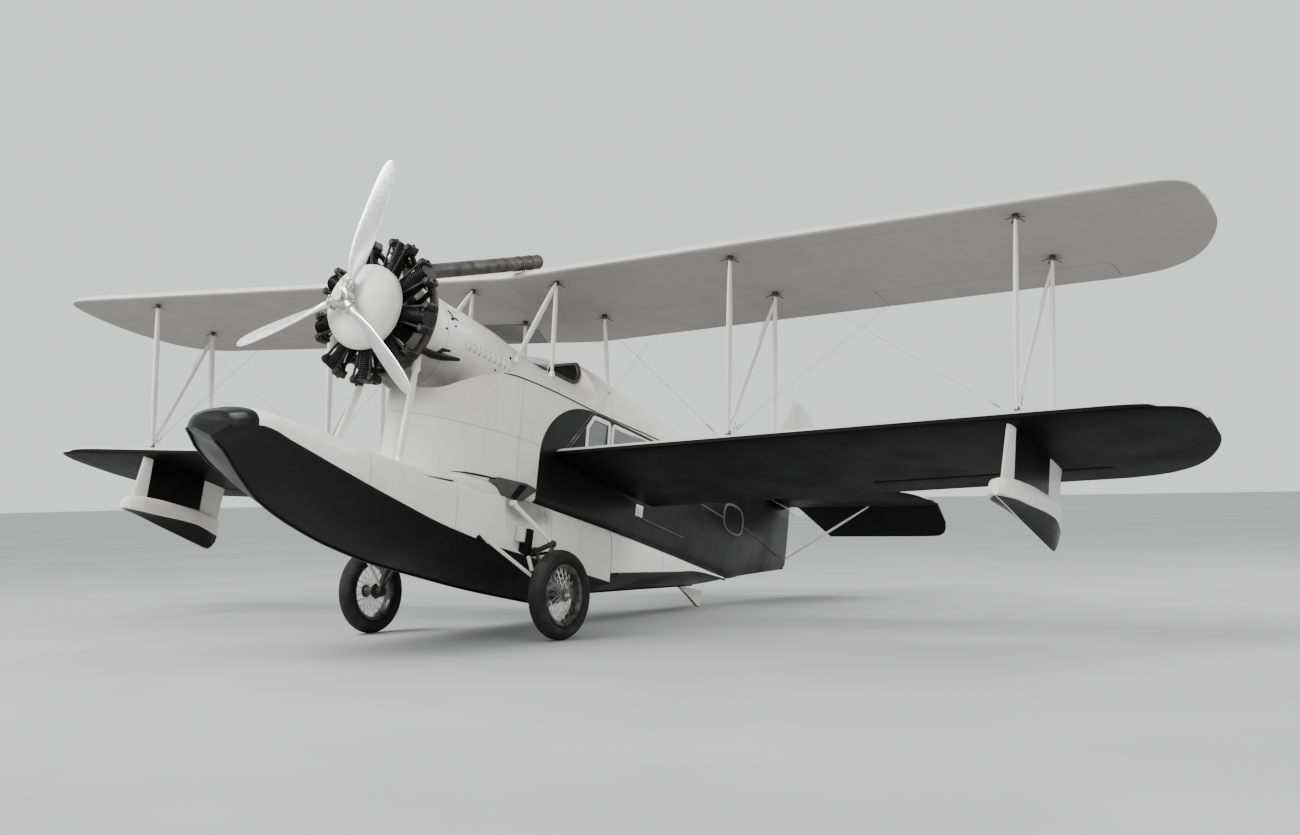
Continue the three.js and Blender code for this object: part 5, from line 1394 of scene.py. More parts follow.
def fork(point, normal, star=False):
    """A pad plate with a pair of ears, and on a strut's top also wire lugs in a star."""
    plate = [(0, 0.008), (0.026, 0.008), (0.032, 0.003), (0.032, -0.004), (0, -0.004)]
    turned(forks, plate, point, -normal, 24)
    cup = [(0, 0.0), (0.018, 0.0), (0.022, 0.01), (0.022, 0.030), (0.014, 0.045), (0, 0.045)]
    turned(forks, cup, point, normal, 20)
    for way in ((1, -0.2, 0), (-1, -0.2, 0), (0.75, 0.8, 0), (-0.75, 0.8, 0)) if star else ():
        way = Vector(way)
        way = (way - normal * way.dot(normal)).normalized() * 0.095 + normal * 0.040
        sweep(forks, [point + normal * 0.01, point + way], [0.016, 0.008], 8, squash=0.35,
              long_axis=way.cross(normal))


# %% Struts between the wings
for place, x in (("inner", INNER), ("outer", OUTER)):
    for name, side in SIDES:
        ends = [(pad("lower", side, x, y), pad("upper", side, x, y))
                for y in (FRONT_SPAR, REAR_SPAR)]
        shape = bmesh.new()
        for (foot, foot_way), (head, head_way) in ends:
            strut(shape, foot, head, 0.046, 0.020)
            fork(foot, foot_way)
            fork(head, head_way, True)
        low = ends[0][0][0].lerp(ends[0][1][0], 0.03)
        high = ends[1][0][0].lerp(ends[1][1][0], 0.96)
        strut(shape, low, high, 0.034, 0.015)
        finished(f"interplane_{place}_{name}", shape, "light_paint", strut_paint,
                 replaces=[f"interplane_struts_{place}_{name}"])

# %% Engine struts
STRUT_FOOT, STRUT_HEAD = (0.45, -1.69, -2.3717), (0.31, -1.48, -1.4053)
for name, side in SIDES:
    shape = bmesh.new()
    foot, head, lug = mirrored(side, (STRUT_FOOT, STRUT_HEAD, (*STRUT_HEAD[:2], -1.24)))
    strut(shape, foot, head, 0.046, 0.022, slim=0.7)
    cup = [(0, 0.0), (0.044, 0.0), (0.044, 0.012), (0.026, 0.05), (0, 0.05)]
    turned(shape, cup, foot - UP * 0.0003, UP, 20)
    turned(shape, cup, head + UP * 0.0003, -UP, 20)
    sweep(shape, [head + UP * 0.0003, lug], 0.040, 16)
    finished(f"engine_strut_skin_{name}", shape, "light_paint", strut_paint,
             replaces=[f"engine_strut_{name}"])

# %% Cabane struts
CABANE_FEET = ((0.632, -0.40, -1.0297), (0.565, 0.285, -0.9847), (0.560, 1.31, -0.8717))
feet_caps = bmesh.new()
for name, side in SIDES:
    feet = mirrored(side, CABANE_FEET)
    apex, apex_way = pad("upper", side, CABANE, FRONT_SPAR)
    rear, rear_way = pad("upper", side, CABANE - 0.02, REAR_SPAR)
    shape = bmesh.new()
    for foot in feet[:2]:
        strut(shape, foot, apex, 0.034, 0.018)
    finished(f"front_cabane_struts_{name}", shape, "light_paint", strut_paint,
             replaces=[f"front_cabane_{name}"])
    shape = bmesh.new()
    strut(shape, feet[2], rear, 0.034, 0.018)
    finished(f"rear_cabane_strut_{name}", shape, "light_paint", strut_paint,
             replaces=[f"rear_cabane_{name}"])
    fork(apex, apex_way, True)
    fork(rear, rear_way, True)
    cap = [(0, -0.04), (0.034, -0.035), (0.030, 0.0), (0.018, 0.035), (0, 0.035)]
    for foot in feet:
        turned(feet_caps, cap, foot, UP, 20)
finished("strut_forks", forks, "painted_steel", fork_steel)
finished("cabane_feet", feet_caps, "light_paint", strut_paint)

# %% [markdown]
# Streamlined wires cross in each bay between the wings, two side by side, and lighter ones cross
# between the front and rear struts. Each wire is a thin flattened rod with a turnbuckle near its
# lower end. They are taut, so a straight sweep is right, and no sag is worked out.

# %% Bracing wires
wire_steel = two_tone("wire_steel", (30, 2), grey(0.40), grey(0.22, 1.04), (50, 2), 0.3, 0.2,
                      Metallic=0.9)
WIRE_Y, BESIDE, APART = FRONT_SPAR - 0.09, 0.07, 0.012


def wire(shape, a, b, ahead=Vector(), radius=0.0022):
    """A wire between two pads of the wings, moved ahead a little."""
    (a, _), (b, _) = a, b
    a, b = a + ahead, b + ahead
    way = (b - a).normalized()
    flat = AFT if abs(way.y) < 0.9 else None
    sweep(shape, [a, a.lerp(b, 0.5), b], radius, 8, squash=0.5, long_axis=flat)
    low, to = (a, way) if a.z < b.z else (b, -way)
    barrel = [(0, 0.06), (0.003, 0.06), (0.006, 0.09), (0.006, 0.14), (0.003, 0.17), (0, 0.17)]
    turned(shape, barrel, low, to, 10)


for bay, upper_x, outer_x, lower_x in (
        ("inner", CABANE + BESIDE, INNER - BESIDE, 0.73 + BESIDE),
        ("outer", INNER + BESIDE, OUTER - BESIDE, INNER + BESIDE)):
    for name, side in SIDES:
        shape = bmesh.new()
        for off in (-APART, APART):
            ahead = Vector((0, off, 0))
            wire(shape, pad("upper", side, upper_x, WIRE_Y), pad("lower", side, outer_x, WIRE_Y),
                 ahead)
            wire(shape, pad("lower", side, lower_x, WIRE_Y), pad("upper", side, outer_x, WIRE_Y),
                 ahead * 2)
        x = outer_x + BESIDE
        wire(shape, pad("lower", side, x, FRONT_SPAR + 0.06),
             pad("upper", side, x, REAR_SPAR - 0.06), radius=0.0020)
        finished(f"bracing_wires_{bay}_{name}_pair", shape, "wire_steel", wire_steel,
                 replaces=[f"bracing_wires_{bay}_{name}"])

# %% [markdown]
# ## Wing floats
# A float is a small hull: a rounded deck, a hard chine and a V bottom that ends in a pointed step.
# Its solid pylon is an aerofoil. Only the V bottom is black, up to the chine, and the pylon is
# black between a light nose and a light tail.

# %% Wing floats
FLOAT_X = 5.48
# station, half beam, deck, chine, keel
FLOAT = [(0.185, 0.03, -2.235, -2.318, -2.335), (0.24, 0.09, -2.175, -2.325, -2.346),
         (0.42, 0.14, -2.14, -2.332, -2.372), (0.80, 0.16, -2.122, -2.318, -2.44),
         (1.20, 0.15, -2.122, -2.312, -2.505), (1.45, 0.115, -2.135, -2.325, -2.548),
         (1.62, 0.065, -2.15, -2.345, -2.575), (1.72, 0.02, -2.165, -2.38, -2.48)]


def float_ring(side, y):
    _, beam, deck_z, chine, keel = fair(FLOAT, y)
    half = smooth_line([(0, deck_z), (beam * 0.55, deck_z - 0.012), (beam * 0.88, deck_z - 0.035),
                        (beam, lerp(deck_z, chine, 0.6)), (beam, chine)], 4)
    half += [(beam * t, lerp(keel, chine, t)) for t in (0.66, 0.33, 0.0)]
    port = [Vector((side * FLOAT_X + x, y, z)) for x, z in half]
    return port + [Vector((side * FLOAT_X - x, y, z)) for x, z in half[-2:0:-1]]


def chine_z(finish, y):
    """The chine's height as a function of y, in straight pieces."""
    return -2.332 + finish.step(y, 0.5, 1.1) * 0.016 - finish.step(y, 1.2, 1.72) * 0.05


def float_black(finish, x, y, z):
    """Only the V bottom is black, with a thin light line left along the keel."""
    keel_line = finish.line(abs(abs(x) - FLOAT_X), 0.0, 0.008)
    return (1 - finish.step(z - chine_z(finish, y), -0.006, 0.0)) * (1 - keel_line)


def pylon_black(finish, x, y, z):
    return finish.step(y, 0.50, 0.51) * (1 - finish.step(y, 1.36, 1.37))


def pylon_ring(side, share):
    """An aerofoil at a share of the way from the float's deck to inside the lower wing."""
    inside_wing = section(0.3)[1] + 0.01
    ring = []
    for a in turns(40):
        c = (1 - math.cos(a)) / 2
        half = 0.045 * (1 - (1 - 2 * c) ** 4) ** 0.5 * (1 - 0.55 * c)
        x = side * FLOAT_X + math.copysign(half, math.sin(a))
        y = lerp(0.30, lerp(1.70, 1.66, share), c)
        head = TO_LEVEL @ wing_matrix("lower", side) @ Vector((x, y - 0.22, inside_wing))
        ring.append(Vector((x, y, -2.175)).lerp(head, share))
    return ring


float_paint = enamel("float_two_tone", black=float_black)
pylon_paint = enamel("pylon_two_tone", black=pylon_black)
for name, side in SIDES:
    rings = [float_ring(side, y) for y in stations_for(FLOAT, 0.05)]
    lofted(f"wing_float_hull_{name}", rings, "black_paint", float_paint,
           replaces=[f"wing_float_{name}"])
    rings = [pylon_ring(side, share) for share in spread(0, 1, 6)]
    lofted(f"float_pylon_{name}", rings, "black_paint", pylon_paint, crease=60)

# %% [markdown]
# ## Landing gear
# A cranked leg, a drag rod and a retraction strut carry each axle. The wheels have wire spokes, as
# the photograph shows: two cones of spokes that run from the hub's flanges to the rim.

# %% Gear legs
gear_paint = enamel("gear_light")
gear_grey = two_tone("gear_grey", (14, 4), grey(0.018), grey(0.05, 1.04), (60, 3), 0.35, 0.3,
                     Metallic=0.3)
DRAG, LEG, RETRACT = (Vector(at) for at in ((0.79, -0.70, -2.91), (0.79, 0.05, -2.86),
                                            (0.75, -0.35, -2.47)))
KNEE, CARRIER = Vector((1.01, 0.04, -2.79)), Vector((1.07, 0, AXLE_Z))
PORT = Vector((1, 0, 0))
INTO_SOCKET = PORT * 0.032


def socket(shape, at, radius, throat):
    """A round socket on the hull's side that holds a rod's end."""
    turned(shape, [(0, 0.0003), (radius, 0.0003), (radius, 0.058), (throat, 0.066), (0, 0.066)],
           at, PORT, 24)


for name, side in SIDES:
    place = LEVEL @ Matrix.Diagonal((side, 1, 1, 1))
    shape = bmesh.new()
    sweep(shape, [RETRACT + INTO_SOCKET, KNEE + Vector((0, 0, 0.01))], [0.025, 0.022], 20)
    sweep(shape, [DRAG + INTO_SOCKET, CARRIER + Vector((0, -0.02, 0.05))], [0.018, 0.017], 16)
    socket(shape, RETRACT, 0.030, 0.018)
    socket(shape, DRAG, 0.024, 0.0144)
    finished(f"gear_light_rods_{name}", shape, "light_paint", gear_paint, place,
             replaces=[f"gear_leg_{name}"])
    shape = bmesh.new()
    sweep(shape, [LEG + INTO_SOCKET, KNEE, KNEE.lerp(CARRIER, 0.15), CARRIER],
          [0.024, 0.028, 0.030, 0.040], 20)
    sweep(shape, [LEG + INTO_SOCKET - UP * 0.01, CARRIER + UP * 0.03], 0.018, 14)
    socket(shape, LEG, 0.038, 0.02)
    collar = [(0, -0.04), (0.05, -0.04), (0.055, -0.03), (0.055, 0.03), (0.045, 0.04), (0, 0.04)]
    turned(shape, collar, CARRIER, PORT, 28)
    axle_rod = [(0, 0.03), (0.028, 0.03), (0.028, 0.205), (0.022, 0.22), (0, 0.22)]
    turned(shape, axle_rod, CARRIER, PORT, 24)
    knee_pin = [(0, -0.035), (0.034, -0.03), (0.036, 0.0), (0.034, 0.03), (0, 0.035)]
    turned(shape, knee_pin, KNEE, AFT, 24)
    finished(f"gear_dark_leg_{name}", shape, "painted_steel", gear_grey, place)

# %% [markdown]
# The tyre is one spun profile with ribs moulded round its shoulders and a worn tread. The rim, the
# hub and the spokes are separate so that each takes its own finish. All of them ride on the wheel.

# %% Tyre and rim finishes
rubber = two_tone("tyre_rubber", (6, 5, 0.42, 0.72), grey(0.010), grey(0.026, 1.03),
                  (60, 4, 0.3, 0.7), 0.62, 0.2, Specular_IOR_Level=0.25)
rubber.bump(rubber.noise(90, 5), 0.002, 0.5)
rim_paint = two_tone("rim_enamel", (16, 4, 0.4, 0.7), grey(0.020), grey(0.07, 1.08),
                     (40, 3), 0.25, 0.2, Metallic=0.2, Coat_Weight=0.3)
TYRE = {"outer": 0.430, "rim": 0.292, "half": 0.090, "rib": 0.0022, "tread": 0.0026}
SHOULDER = 0.32
SPOKES = 20


def tyre_profile():
    """Round the tyre from bead to bead, with grooves in the tread and ribs on both shoulders."""
    middle, high = (TYRE["outer"] + TYRE["rim"]) / 2, (TYRE["outer"] - TYRE["rim"]) / 2
    profile = []
    for a in spread(-0.82 * math.pi, 0.82 * math.pi, 73):
        ridge = TYRE["rib"] if SHOULDER < abs(a) < 1.5 and math.sin(a * 30) > 0.2 else 0.0
        tread = TYRE["tread"] if abs(a) <= SHOULDER and math.sin(a * 26) > -0.4 else 0.0
        profile.append((middle + (high - 0.0028 + ridge + tread) * math.cos(a),
                        (TYRE["half"] - 0.0028 + ridge) * math.sin(a)))
    return profile + [(TYRE["rim"] + 0.0005, 0.045), (TYRE["rim"] - 0.008, 0.0),
                      (TYRE["rim"] + 0.0005, -0.045)]


print("tyre profile:", len(tyre_profile()), "points")

# %% Wheels and tyres
rim_profile = [(TYRE["rim"] + r, along) for r, along in (
    (-0.028, -0.048), (-0.004, -0.062), (0.006, -0.058), (-0.001, -0.046), (-0.013, -0.012),
    (-0.013, 0.012), (-0.001, 0.046), (0.006, 0.058), (-0.004, 0.062), (-0.028, 0.048),
    (-0.034, 0.02), (-0.034, -0.02))]
hub_profile = [(0.0285, -0.084), (0.052, -0.084), (0.060, -0.078), (0.078, -0.076),
               (0.078, -0.070), (0.046, -0.066), (0.040, 0.0), (0.046, 0.060), (0.066, 0.064),
               (0.066, 0.070), (0.050, 0.074), (0.048, 0.080), (0.0285, 0.080)]
hub_cap = [(0, 0.081), (0.030, 0.081), (0.030, 0.088), (0.022, 0.094), (0.022, 0.108),
           (0.015, 0.114), (0, 0.114)]


def spoke_end(centre, out, along, radius, turn):
    angle = 2 * math.pi * turn / SPOKES
    return centre + out * along + Vector((0, math.cos(angle), math.sin(angle))) * radius


for name, side in SIDES:
    centre, out, body = Vector((side * 1.20, 0, AXLE_Z)), Vector((side, 0, 0)), f"wheel_{name}"
    shape = bmesh.new()
    turned(shape, tyre_profile(), centre, out, 96, closed=True)
    finished(f"tyre_{name}_ribbed", shape, "tyre_rubber", rubber,
             replaces=[f"tyre_{name}"], body=body)
    shape = bmesh.new()
    turned(shape, rim_profile, centre, out, 96, closed=True)
    turned(shape, hub_profile, centre, out, 48, closed=True)
    finished(f"wheel_{name}_rim", shape, "painted_steel", rim_paint,
             replaces=[body], body=body)
    shape = bmesh.new()
    for face, hub_radius, rim_off in ((0.067, 0.060, 0.012), (-0.073, 0.072, -0.012)):
        for k in range(SPOKES):
            turn = k + 0.5 * (face < 0)
            for lean in (-1.7, 1.7):
                sweep(shape, [spoke_end(centre, out, face, hub_radius, turn),
                              spoke_end(centre, out, rim_off, TYRE["rim"] - 0.033, turn + lean)],
                      0.0022, 6)
    turned(shape, hub_cap, centre, out, 6)
    finished(f"wheel_{name}_spokes", shape, "painted_steel", steel, body=body)

# %% [markdown]
# Where the gear folds into the hull the photograph shows a grey cap plate with a dark slot across
# it, a blister with a dark mouth ahead of the plate, and a channel bracket at the leg. On the
# cabin's side there are a step plate, rails and the ring of a mooring port. Small plates like these
# are what makes a smooth hull look used, and simple slabs and sweeps are enough for them.

# %% Fitting finishes and helpers
# One dark finish for real dark parts and for painted shade: slots, the blister's mouth, the rail's
# shadow and the cockpit lining.
dark_parts_and_shade = Finish("dark_parts_and_painted_shade", Specular_IOR_Level=0.1, Roughness=0.9)
dark_parts_and_shade.set(Base_Color=dark_parts_and_shade.mix(dark_parts_and_shade.noise(20, 2), grey(0.004), grey(0.012)))
plate_grey = two_tone("plate_grey", (9, 4), grey(0.045), grey(0.085, 1.02), (50, 3), 0.4, 0.2,
                      Specular_IOR_Level=0.25)
covers, slots, lights, greys = bmesh.new(), bmesh.new(), bmesh.new(), bmesh.new()


def slab(shape, outline, low, high):
    """A flat plate with its outline in y and z, and its outer edge a little rounded."""
    middle = Vector((0, sum(y for y, _ in outline) / len(outline),
                     sum(z for _, z in outline) / len(outline)))
    rings = []
    for x, shrink in ((low, 0.0), (lerp(low, high, 0.9), 0.0), (high, 0.006)):
        rings.append([Vector((x, y, z)) + (middle - Vector((0, y, z))).normalized() * shrink
                      for y, z in outline])
    loft(shape, rings)


def side_block(shape, side, x, y, z):
    low, high = sorted((side * x[0], side * x[1]))
    block(shape, (low, y[0], z[0]), (high, y[1], z[1]), 0.006)


print("fitting helpers ready")

# %% Gear cover, blister and leg bracket
COVER = [(-0.56, -2.31), (-0.53, -2.25), (-0.10, -2.215), (0.10, -2.24), (-0.12, -2.40),
         (-0.47, -2.42)]
# Painted shade: the slot across the cover plate is a dark slab where the opening lies in shade.
COVER_SLOT_SHADE = [(-0.21, -2.25), (-0.08, -2.24), (-0.24, -2.41), (-0.33, -2.40)]
# Painted shade: the blister's mouth is a dark strip along its top where the opening lies in shade.
BLISTER_MOUTH_SHADE = ((0.62, -1.14, -2.33), (0.685, -1.02, -2.315), (0.71, -0.87, -2.303),
         (0.715, -0.72, -2.29), (0.70, -0.58, -2.275))
RAIL = ((0.70, -2.08, -2.520), (0.715, -1.65, -2.470), (0.72, -1.21, -2.425))
# Painted shadow: a dark strip just under the rail.
RAIL_SHADOW = ((0.70, -2.08, -2.536), (0.715, -1.65, -2.487), (0.72, -1.21, -2.442))
LINK = ((0.805, -0.043, -2.926), (0.83, 0.12, -2.872), (0.86, 0.286, -2.824))
for _, side in SIDES:
    slab(covers, COVER, side * 0.60, side * 0.720)
    slab(slots, COVER_SLOT_SHADE, side * 0.70, side * 0.7245)
    blister = bmesh.ops.create_uvsphere(lights, u_segments=40, v_segments=20, radius=1)
    place = Matrix.Translation((side * 0.655, -0.80, -2.40))
    bmesh.ops.transform(lights, verts=blister["verts"],
                        matrix=place @ Matrix.Diagonal((0.085, 0.37, 0.095, 1)))
    sweep(slots, mirrored(side, BLISTER_MOUTH_SHADE), [0.006, 0.015, 0.019, 0.017, 0.012], 14, squash=0.55,
          long_axis=PORT)
    sweep(lights, mirrored(side, RAIL), [0.010, 0.013, 0.010], 12)
    sweep(slots, mirrored(side, RAIL_SHADOW), [0.006, 0.007, 0.006], 8)
    side_block(slots, side, (0.70, 0.80), (-0.075, 0.005), (-2.93, -2.66))
    side_block(lights, side, (0.70, 0.775), (-0.155, -0.085), (-2.80, -2.65))
    side_block(lights, side, (0.70, 0.785), (0.012, 0.05), (-2.93, -2.68))
    sweep(slots, mirrored(side, LINK), 0.015, 12)
    sweep(lights, mirrored(side, ((0.80, -0.039, -2.93), (0.85, -0.016, -3.068))), 0.020, 14)
    sweep(slots, mirrored(side, ((0.78, -0.82, -2.885), (0.80, -0.71, -2.955))), 0.024, 12,
          squash=0.6)
print("cover and bracket:", len(covers.faces) + len(slots.faces) + len(lights.faces), "faces")


# %% Step plate, rails and mooring port
def wall_rail(side, start, end, points, radius):
    """A rail on the cabin's side between two (y, z) points."""
    (y0, z0), (y1, z1) = start, end
    line = [(y, lerp(z0, z1, (y - y0) / (y1 - y0))) for y in spread(y0, y1, points)]
    sweep(greys, [(side * (wall_x(y, z) + 0.004), y, z) for y, z in line], radius, 10)


def squarish(middle, half, wave):
    """One coordinate of an oval with squared corners, from a cosine or a sine."""
    return middle + half * math.copysign(abs(wave) ** 0.7, wave)


for _, side in SIDES:
    side_block(lights, side, (0.50, 0.655), (1.94, 2.08), (-2.11, -1.985))
    wall_rail(side, (2.09, -2.118), (3.07, -2.135), 14, 0.008)
    wall_rail(side, (3.28, -1.667), (4.07, -1.6969), 10, 0.010)
    wall_rail(side, (4.64, -1.69), (6.05, -1.777), 14, 0.008)
    ring = [(squarish(4.355, 0.28, math.cos(a)), squarish(-1.665, 0.168, math.sin(a)))
            for a in turns(48)]
    sweep(greys, [(side * (wall_x(y, z) + 0.003), y, z) for y, z in ring + ring[:2]], 0.017, 10)
finished("gear_cover_plates", covers, "painted_steel", plate_grey)
finished("gear_dark_fittings_and_painted_shadows", slots, "black_paint", dark_parts_and_shade)
finished("hull_light_fittings", lights, "light_paint", plain_light)
finished("cabin_side_rails", greys, "painted_steel", plate_grey)

# %% [markdown]
# ## Tail
# The tailplane is thin and fabric covered. Both elevators hang drooped on their lower stop, and
# the rudder stands edge on to the camera. The same sheet map as on the wings carries the rib tapes,
# so the fabric of the tail matches them at the same scale.

# %% Tailplane and elevators
TAIL = {"hinge": 6.466, "z": -1.045, "lead": 5.60, "nose": 0.024, "rear": 6.436}
# span, leading edge's sweep back, thickness
TAIL_TIP = [(1.60, 0, 1), (1.85, 0.06, 0.9), (2.01, 0.19, 0.75), (2.092, 0.38, 0.55),
            (2.12, 0.56, 0.4)]


def tail_uv(co, normal):
    return sheet_uv(co - Vector((0, TAIL["lead"], 0)), normal)


def tailplane_ring(x):
    _, back, thin = fair(TAIL_TIP, max(abs(x), 1.60))
    sag = 0.05 * abs(math.sin(math.pi * x / RIB_PITCH)) if abs(x) < 1.6 else 0
    lead = TAIL["lead"] + back
    upper, lower = [], []
    for k in range(15):
        c = (1 - math.cos(math.pi * k / 14)) / 2
        high = 0.042 * thin * (1 - sag) * min(1, 1.6 * math.sqrt(c))
        high *= 1 - 0.42 * max(0, c - 0.4) / 0.6
        upper.append(Vector((x, lerp(lead, TAIL["rear"], c), TAIL["z"] + high)))
        lower.append(Vector((x, lerp(lead, TAIL["rear"], c), TAIL["z"] - high)))
    return upper + lower[:0:-1]


tail_fabric = fabric("tail_fabric_two_tone", True)
half = [x for x, _ in wing_stations(0.0, 1.60)] + spread(1.65, 2.12, 14)
rings = [tailplane_ring(x) for x in [-x for x in reversed(half[1:])] + half]
lofted("tailplane_skin", rings, "doped_fabric_light", tail_fabric, crease=50,
       replaces=["tailplane"], uv=tail_uv)

# %% Elevators
ELEVATOR = [(0.09, 0.60), (1.50, 0.60), (1.90, 0.59), (2.04, 0.515), (2.11, 0.33)]
DROOP = math.radians(30)


def elevator_ring(side, x):
    """Round nose on the hinge line, flat faces to a thin edge, and a cut-out for the rudder."""
    _, chord = fair(ELEVATOR, x)
    if x < 0.42:
        chord = min(chord, max(0.02, (x - 0.12) / 0.3 * 0.70))
    sag = 0.06 * abs(math.sin(math.pi * x / RIB_PITCH)) if x < 1.5 else 0
    nose = [Vector((side * x, -TAIL["nose"] * math.sin(a), TAIL["nose"] * math.cos(a)))
            for a in spread(0, math.pi, 11)]
    lower = [Vector((side * x, chord * c, -lerp(TAIL["nose"] * (1 - sag), 0.003, c)))
             for c in spread(0.12, 1, 8)]
    return nose + lower + [Vector((p.x, p.y, -p.z)) for p in reversed(lower)]


def elevator_uv(co, normal):
    return (co.x, co.y + 0.9 if normal.z > 0 else -co.y - 0.9)


place = (LEVEL @ Matrix.Translation((0, TAIL["hinge"], TAIL["z"]))
         @ Matrix.Rotation(-DROOP, 4, "X"))
for name, side in SIDES:
    inner = [x for x, _ in wing_stations(0.121, 1.5)]
    rings = [elevator_ring(side, x) for x in sorted({*inner, 0.2, 0.3, *spread(1.55, 2.11, 14)})]
    lofted(f"elevator_skin_{name}", rings, "doped_fabric_light", tail_fabric, place, 50,
           [f"elevator_{name}"], elevator_uv, f"elevator_{name}")

# %% [markdown]
# The fin is a flat leaf with a raked front, and the rudder a taller one with rounded ends that
# swings behind it. Both are lofted upwards, ring on ring, which keeps their outlines smooth.

# %% Fin, rudder and tail struts
FIN = {"foot": -1.0, "top": 0.34, "half": 0.024}
RUDDER = {"foot": -1.13, "top": 0.35, "chord": 0.64}
plate_fabric = fabric("fin_fabric", False)


def fin_ring(z):
    share = (z + 1.045) / 1.385
    front = lerp(5.65, 6.30, share ** 1.6) + 0.25 * share * (1 - share)
    ring = []
    for a in turns(24):
        c = (1 - math.cos(a)) / 2
        half = FIN["half"] * min(1, 1.7 * math.sqrt(c))
        x = math.copysign(half, math.sin(a)) if 0 < c < 1 else 0.0
        ring.append(Vector((x, lerp(front, TAIL["rear"], c), z)))
    return ring


def rounded(share, least):
    """From least at 0 to 1 at 1, along a quarter of a circle."""
    return min(1, math.sqrt(max(0, 1 - (1 - min(1, share)) ** 2)) * (1 - least) + least)


def rudder_ring(z):
    chord = (RUDDER["chord"] * rounded((z - RUDDER["foot"]) / 0.63, 0.38)
             * rounded((RUDDER["top"] - z) / 0.85, 0.28))
    nose = [Vector((TAIL["nose"] * math.cos(a), TAIL["hinge"] - TAIL["nose"] * math.sin(a), z))
            for a in spread(0, math.pi, 9)]
    port = [Vector((-lerp(0.023, 0.003, c), TAIL["hinge"] + chord * c, z))
            for c in spread(0.1, 1, 8)]
    return nose + port + [Vector((-p.x, p.y, p.z)) for p in reversed(port)]


def upright_uv(co, normal):
    return (co.z, co.y)


rings = [fin_ring(z) for z in spread(FIN["foot"], FIN["top"], 22)]
lofted("fin_skin", rings, "light_paint", plate_fabric, crease=50, replaces=["fin"], uv=upright_uv)
rings = [rudder_ring(z) for z in spread(RUDDER["foot"], RUDDER["top"], 34)]
lofted("rudder_skin", rings, "doped_fabric_light", plate_fabric, crease=50,
       replaces=["rudder"], uv=upright_uv, body="rudder")
for name, side in SIDES:
    shape = bmesh.new()
    strut(shape, (side * 0.0603, 6.35, -1.78), (side * 1.25, 6.29, -1.0973), 0.026, 0.012)
    finished(f"tail_strut_{name}", shape, "light_paint", strut_paint,
             replaces=[f"tailplane_strut_{name}"])

# %% [markdown]
# The tail skid is a light triangular plate with a dark wearing strip along its foot. It swivels.

# %% Tail skid
SKID = {"pivot": 4.08, "top": -2.52, "tip_y": 4.43, "tip_z": -2.705, "heel_y": 4.49,
        "heel_z": -2.47}
pivot, top, tip_y, tip_z, heel_y, heel_z = SKID.values()
shape = bmesh.new()
outline = [(pivot - 0.095, top - 0.012), (heel_y, heel_z - 0.03), (heel_y + 0.005, heel_z - 0.06),
           (tip_y + 0.025, tip_z), (tip_y - 0.02, tip_z), (pivot - 0.10, top - 0.03)]
prism(shape, outline, -0.013, 0.013)
bmesh.ops.bevel(shape, geom=shape.edges[:], offset=0.003, offset_type="OFFSET", affect="EDGES",
                segments=2, profile=0.5, material=-1)
stem = [(0, -0.06), (0.024, -0.06), (0.024, -0.0003), (0, -0.0003)]
turned(shape, stem, (0, pivot, top), UP, 24)
finished("tail_skid_plate", shape, "painted_steel", gear_paint, replaces=["tail_skid"],
         body="tail_skid")
shape = bmesh.new()
shoe = [(0, pivot - 0.10, top - 0.024), (0, tip_y - 0.02, tip_z + 0.004),
        (0, tip_y + 0.02, tip_z + 0.006)]
sweep(shape, shoe, 0.016, 10, squash=0.4, long_axis=PORT)
finished("tail_skid_shoe", shape, "painted_steel", gear_grey, body="tail_skid")

# %% [markdown]
# ## Cockpit and cabin
# The pilot sits behind the nacelle in an open, leather-trimmed cockpit. The seat and the benches
# are crowned cushions: a box is cut into a grid, its faces are pushed out like a pillow and a
# subdivision surface rounds what is left. A cloth simulation would make truer folds, but these pads
# lie deep in the cockpit and behind dark glass, where only their crowns and channels show.

# %% Leather
leather = two_tone("dark_leather", (5, 4, 0.35, 0.7), grey(0.014, 1.10), grey(0.035, 1.16),
                   (40, 4, 0.3, 0.7), 0.42, 0.2, Coat_Weight=0.08, Coat_Roughness=0.4)
grain = leather.node("ShaderNodeTexVoronoi", {}, Vector=leather.where(), Scale=240)
leather.bump(grain, 0.0015, 0.5)
print("leather ready")


# %% Cushions
def cushion(name, low, high, crown, channels, replaces=()):
    """A pad between two corners whose faces swell, parted by sewn channels across x."""
    shape = bmesh.new()
    low, high = Vector(low), Vector(high)
    size, middle = high - low, (low + high) / 2
    bmesh.ops.create_cube(shape, size=1)
    bmesh.ops.subdivide_edges(shape, edges=shape.edges[:], cuts=15, use_grid_fill=True)
    for vert in shape.verts:
        p = vert.co.copy()
        edge = [1 - (2 * abs(c)) ** 4 for c in p]
        others = [[edge[k] for k in range(3) if k != axis] for axis in range(3)]
        sewn = 1 - 0.45 * max(0, math.cos(math.pi * 2 * (p.x + 0.5) * channels)) ** 12
        for axis in range(3):
            if abs(p[axis]) > 0.499:
                swell = crown[axis] / size[axis] * others[axis][0] * others[axis][1]
                vert.co[axis] += math.copysign(swell * (sewn if axis else 1), p[axis])
        for axis in range(3):
            vert.co[axis] *= 1 - 0.06 * (1 - min(others[axis])) ** 2
        vert.co = Vector(c * s for c, s in zip(vert.co, size)) + middle
    piece = finished(name, shape, "leather", leather, crease=70, replaces=replaces)
    rounder = piece.modifiers.new("round", "SUBSURF")
    rounder.levels = rounder.render_levels = 1


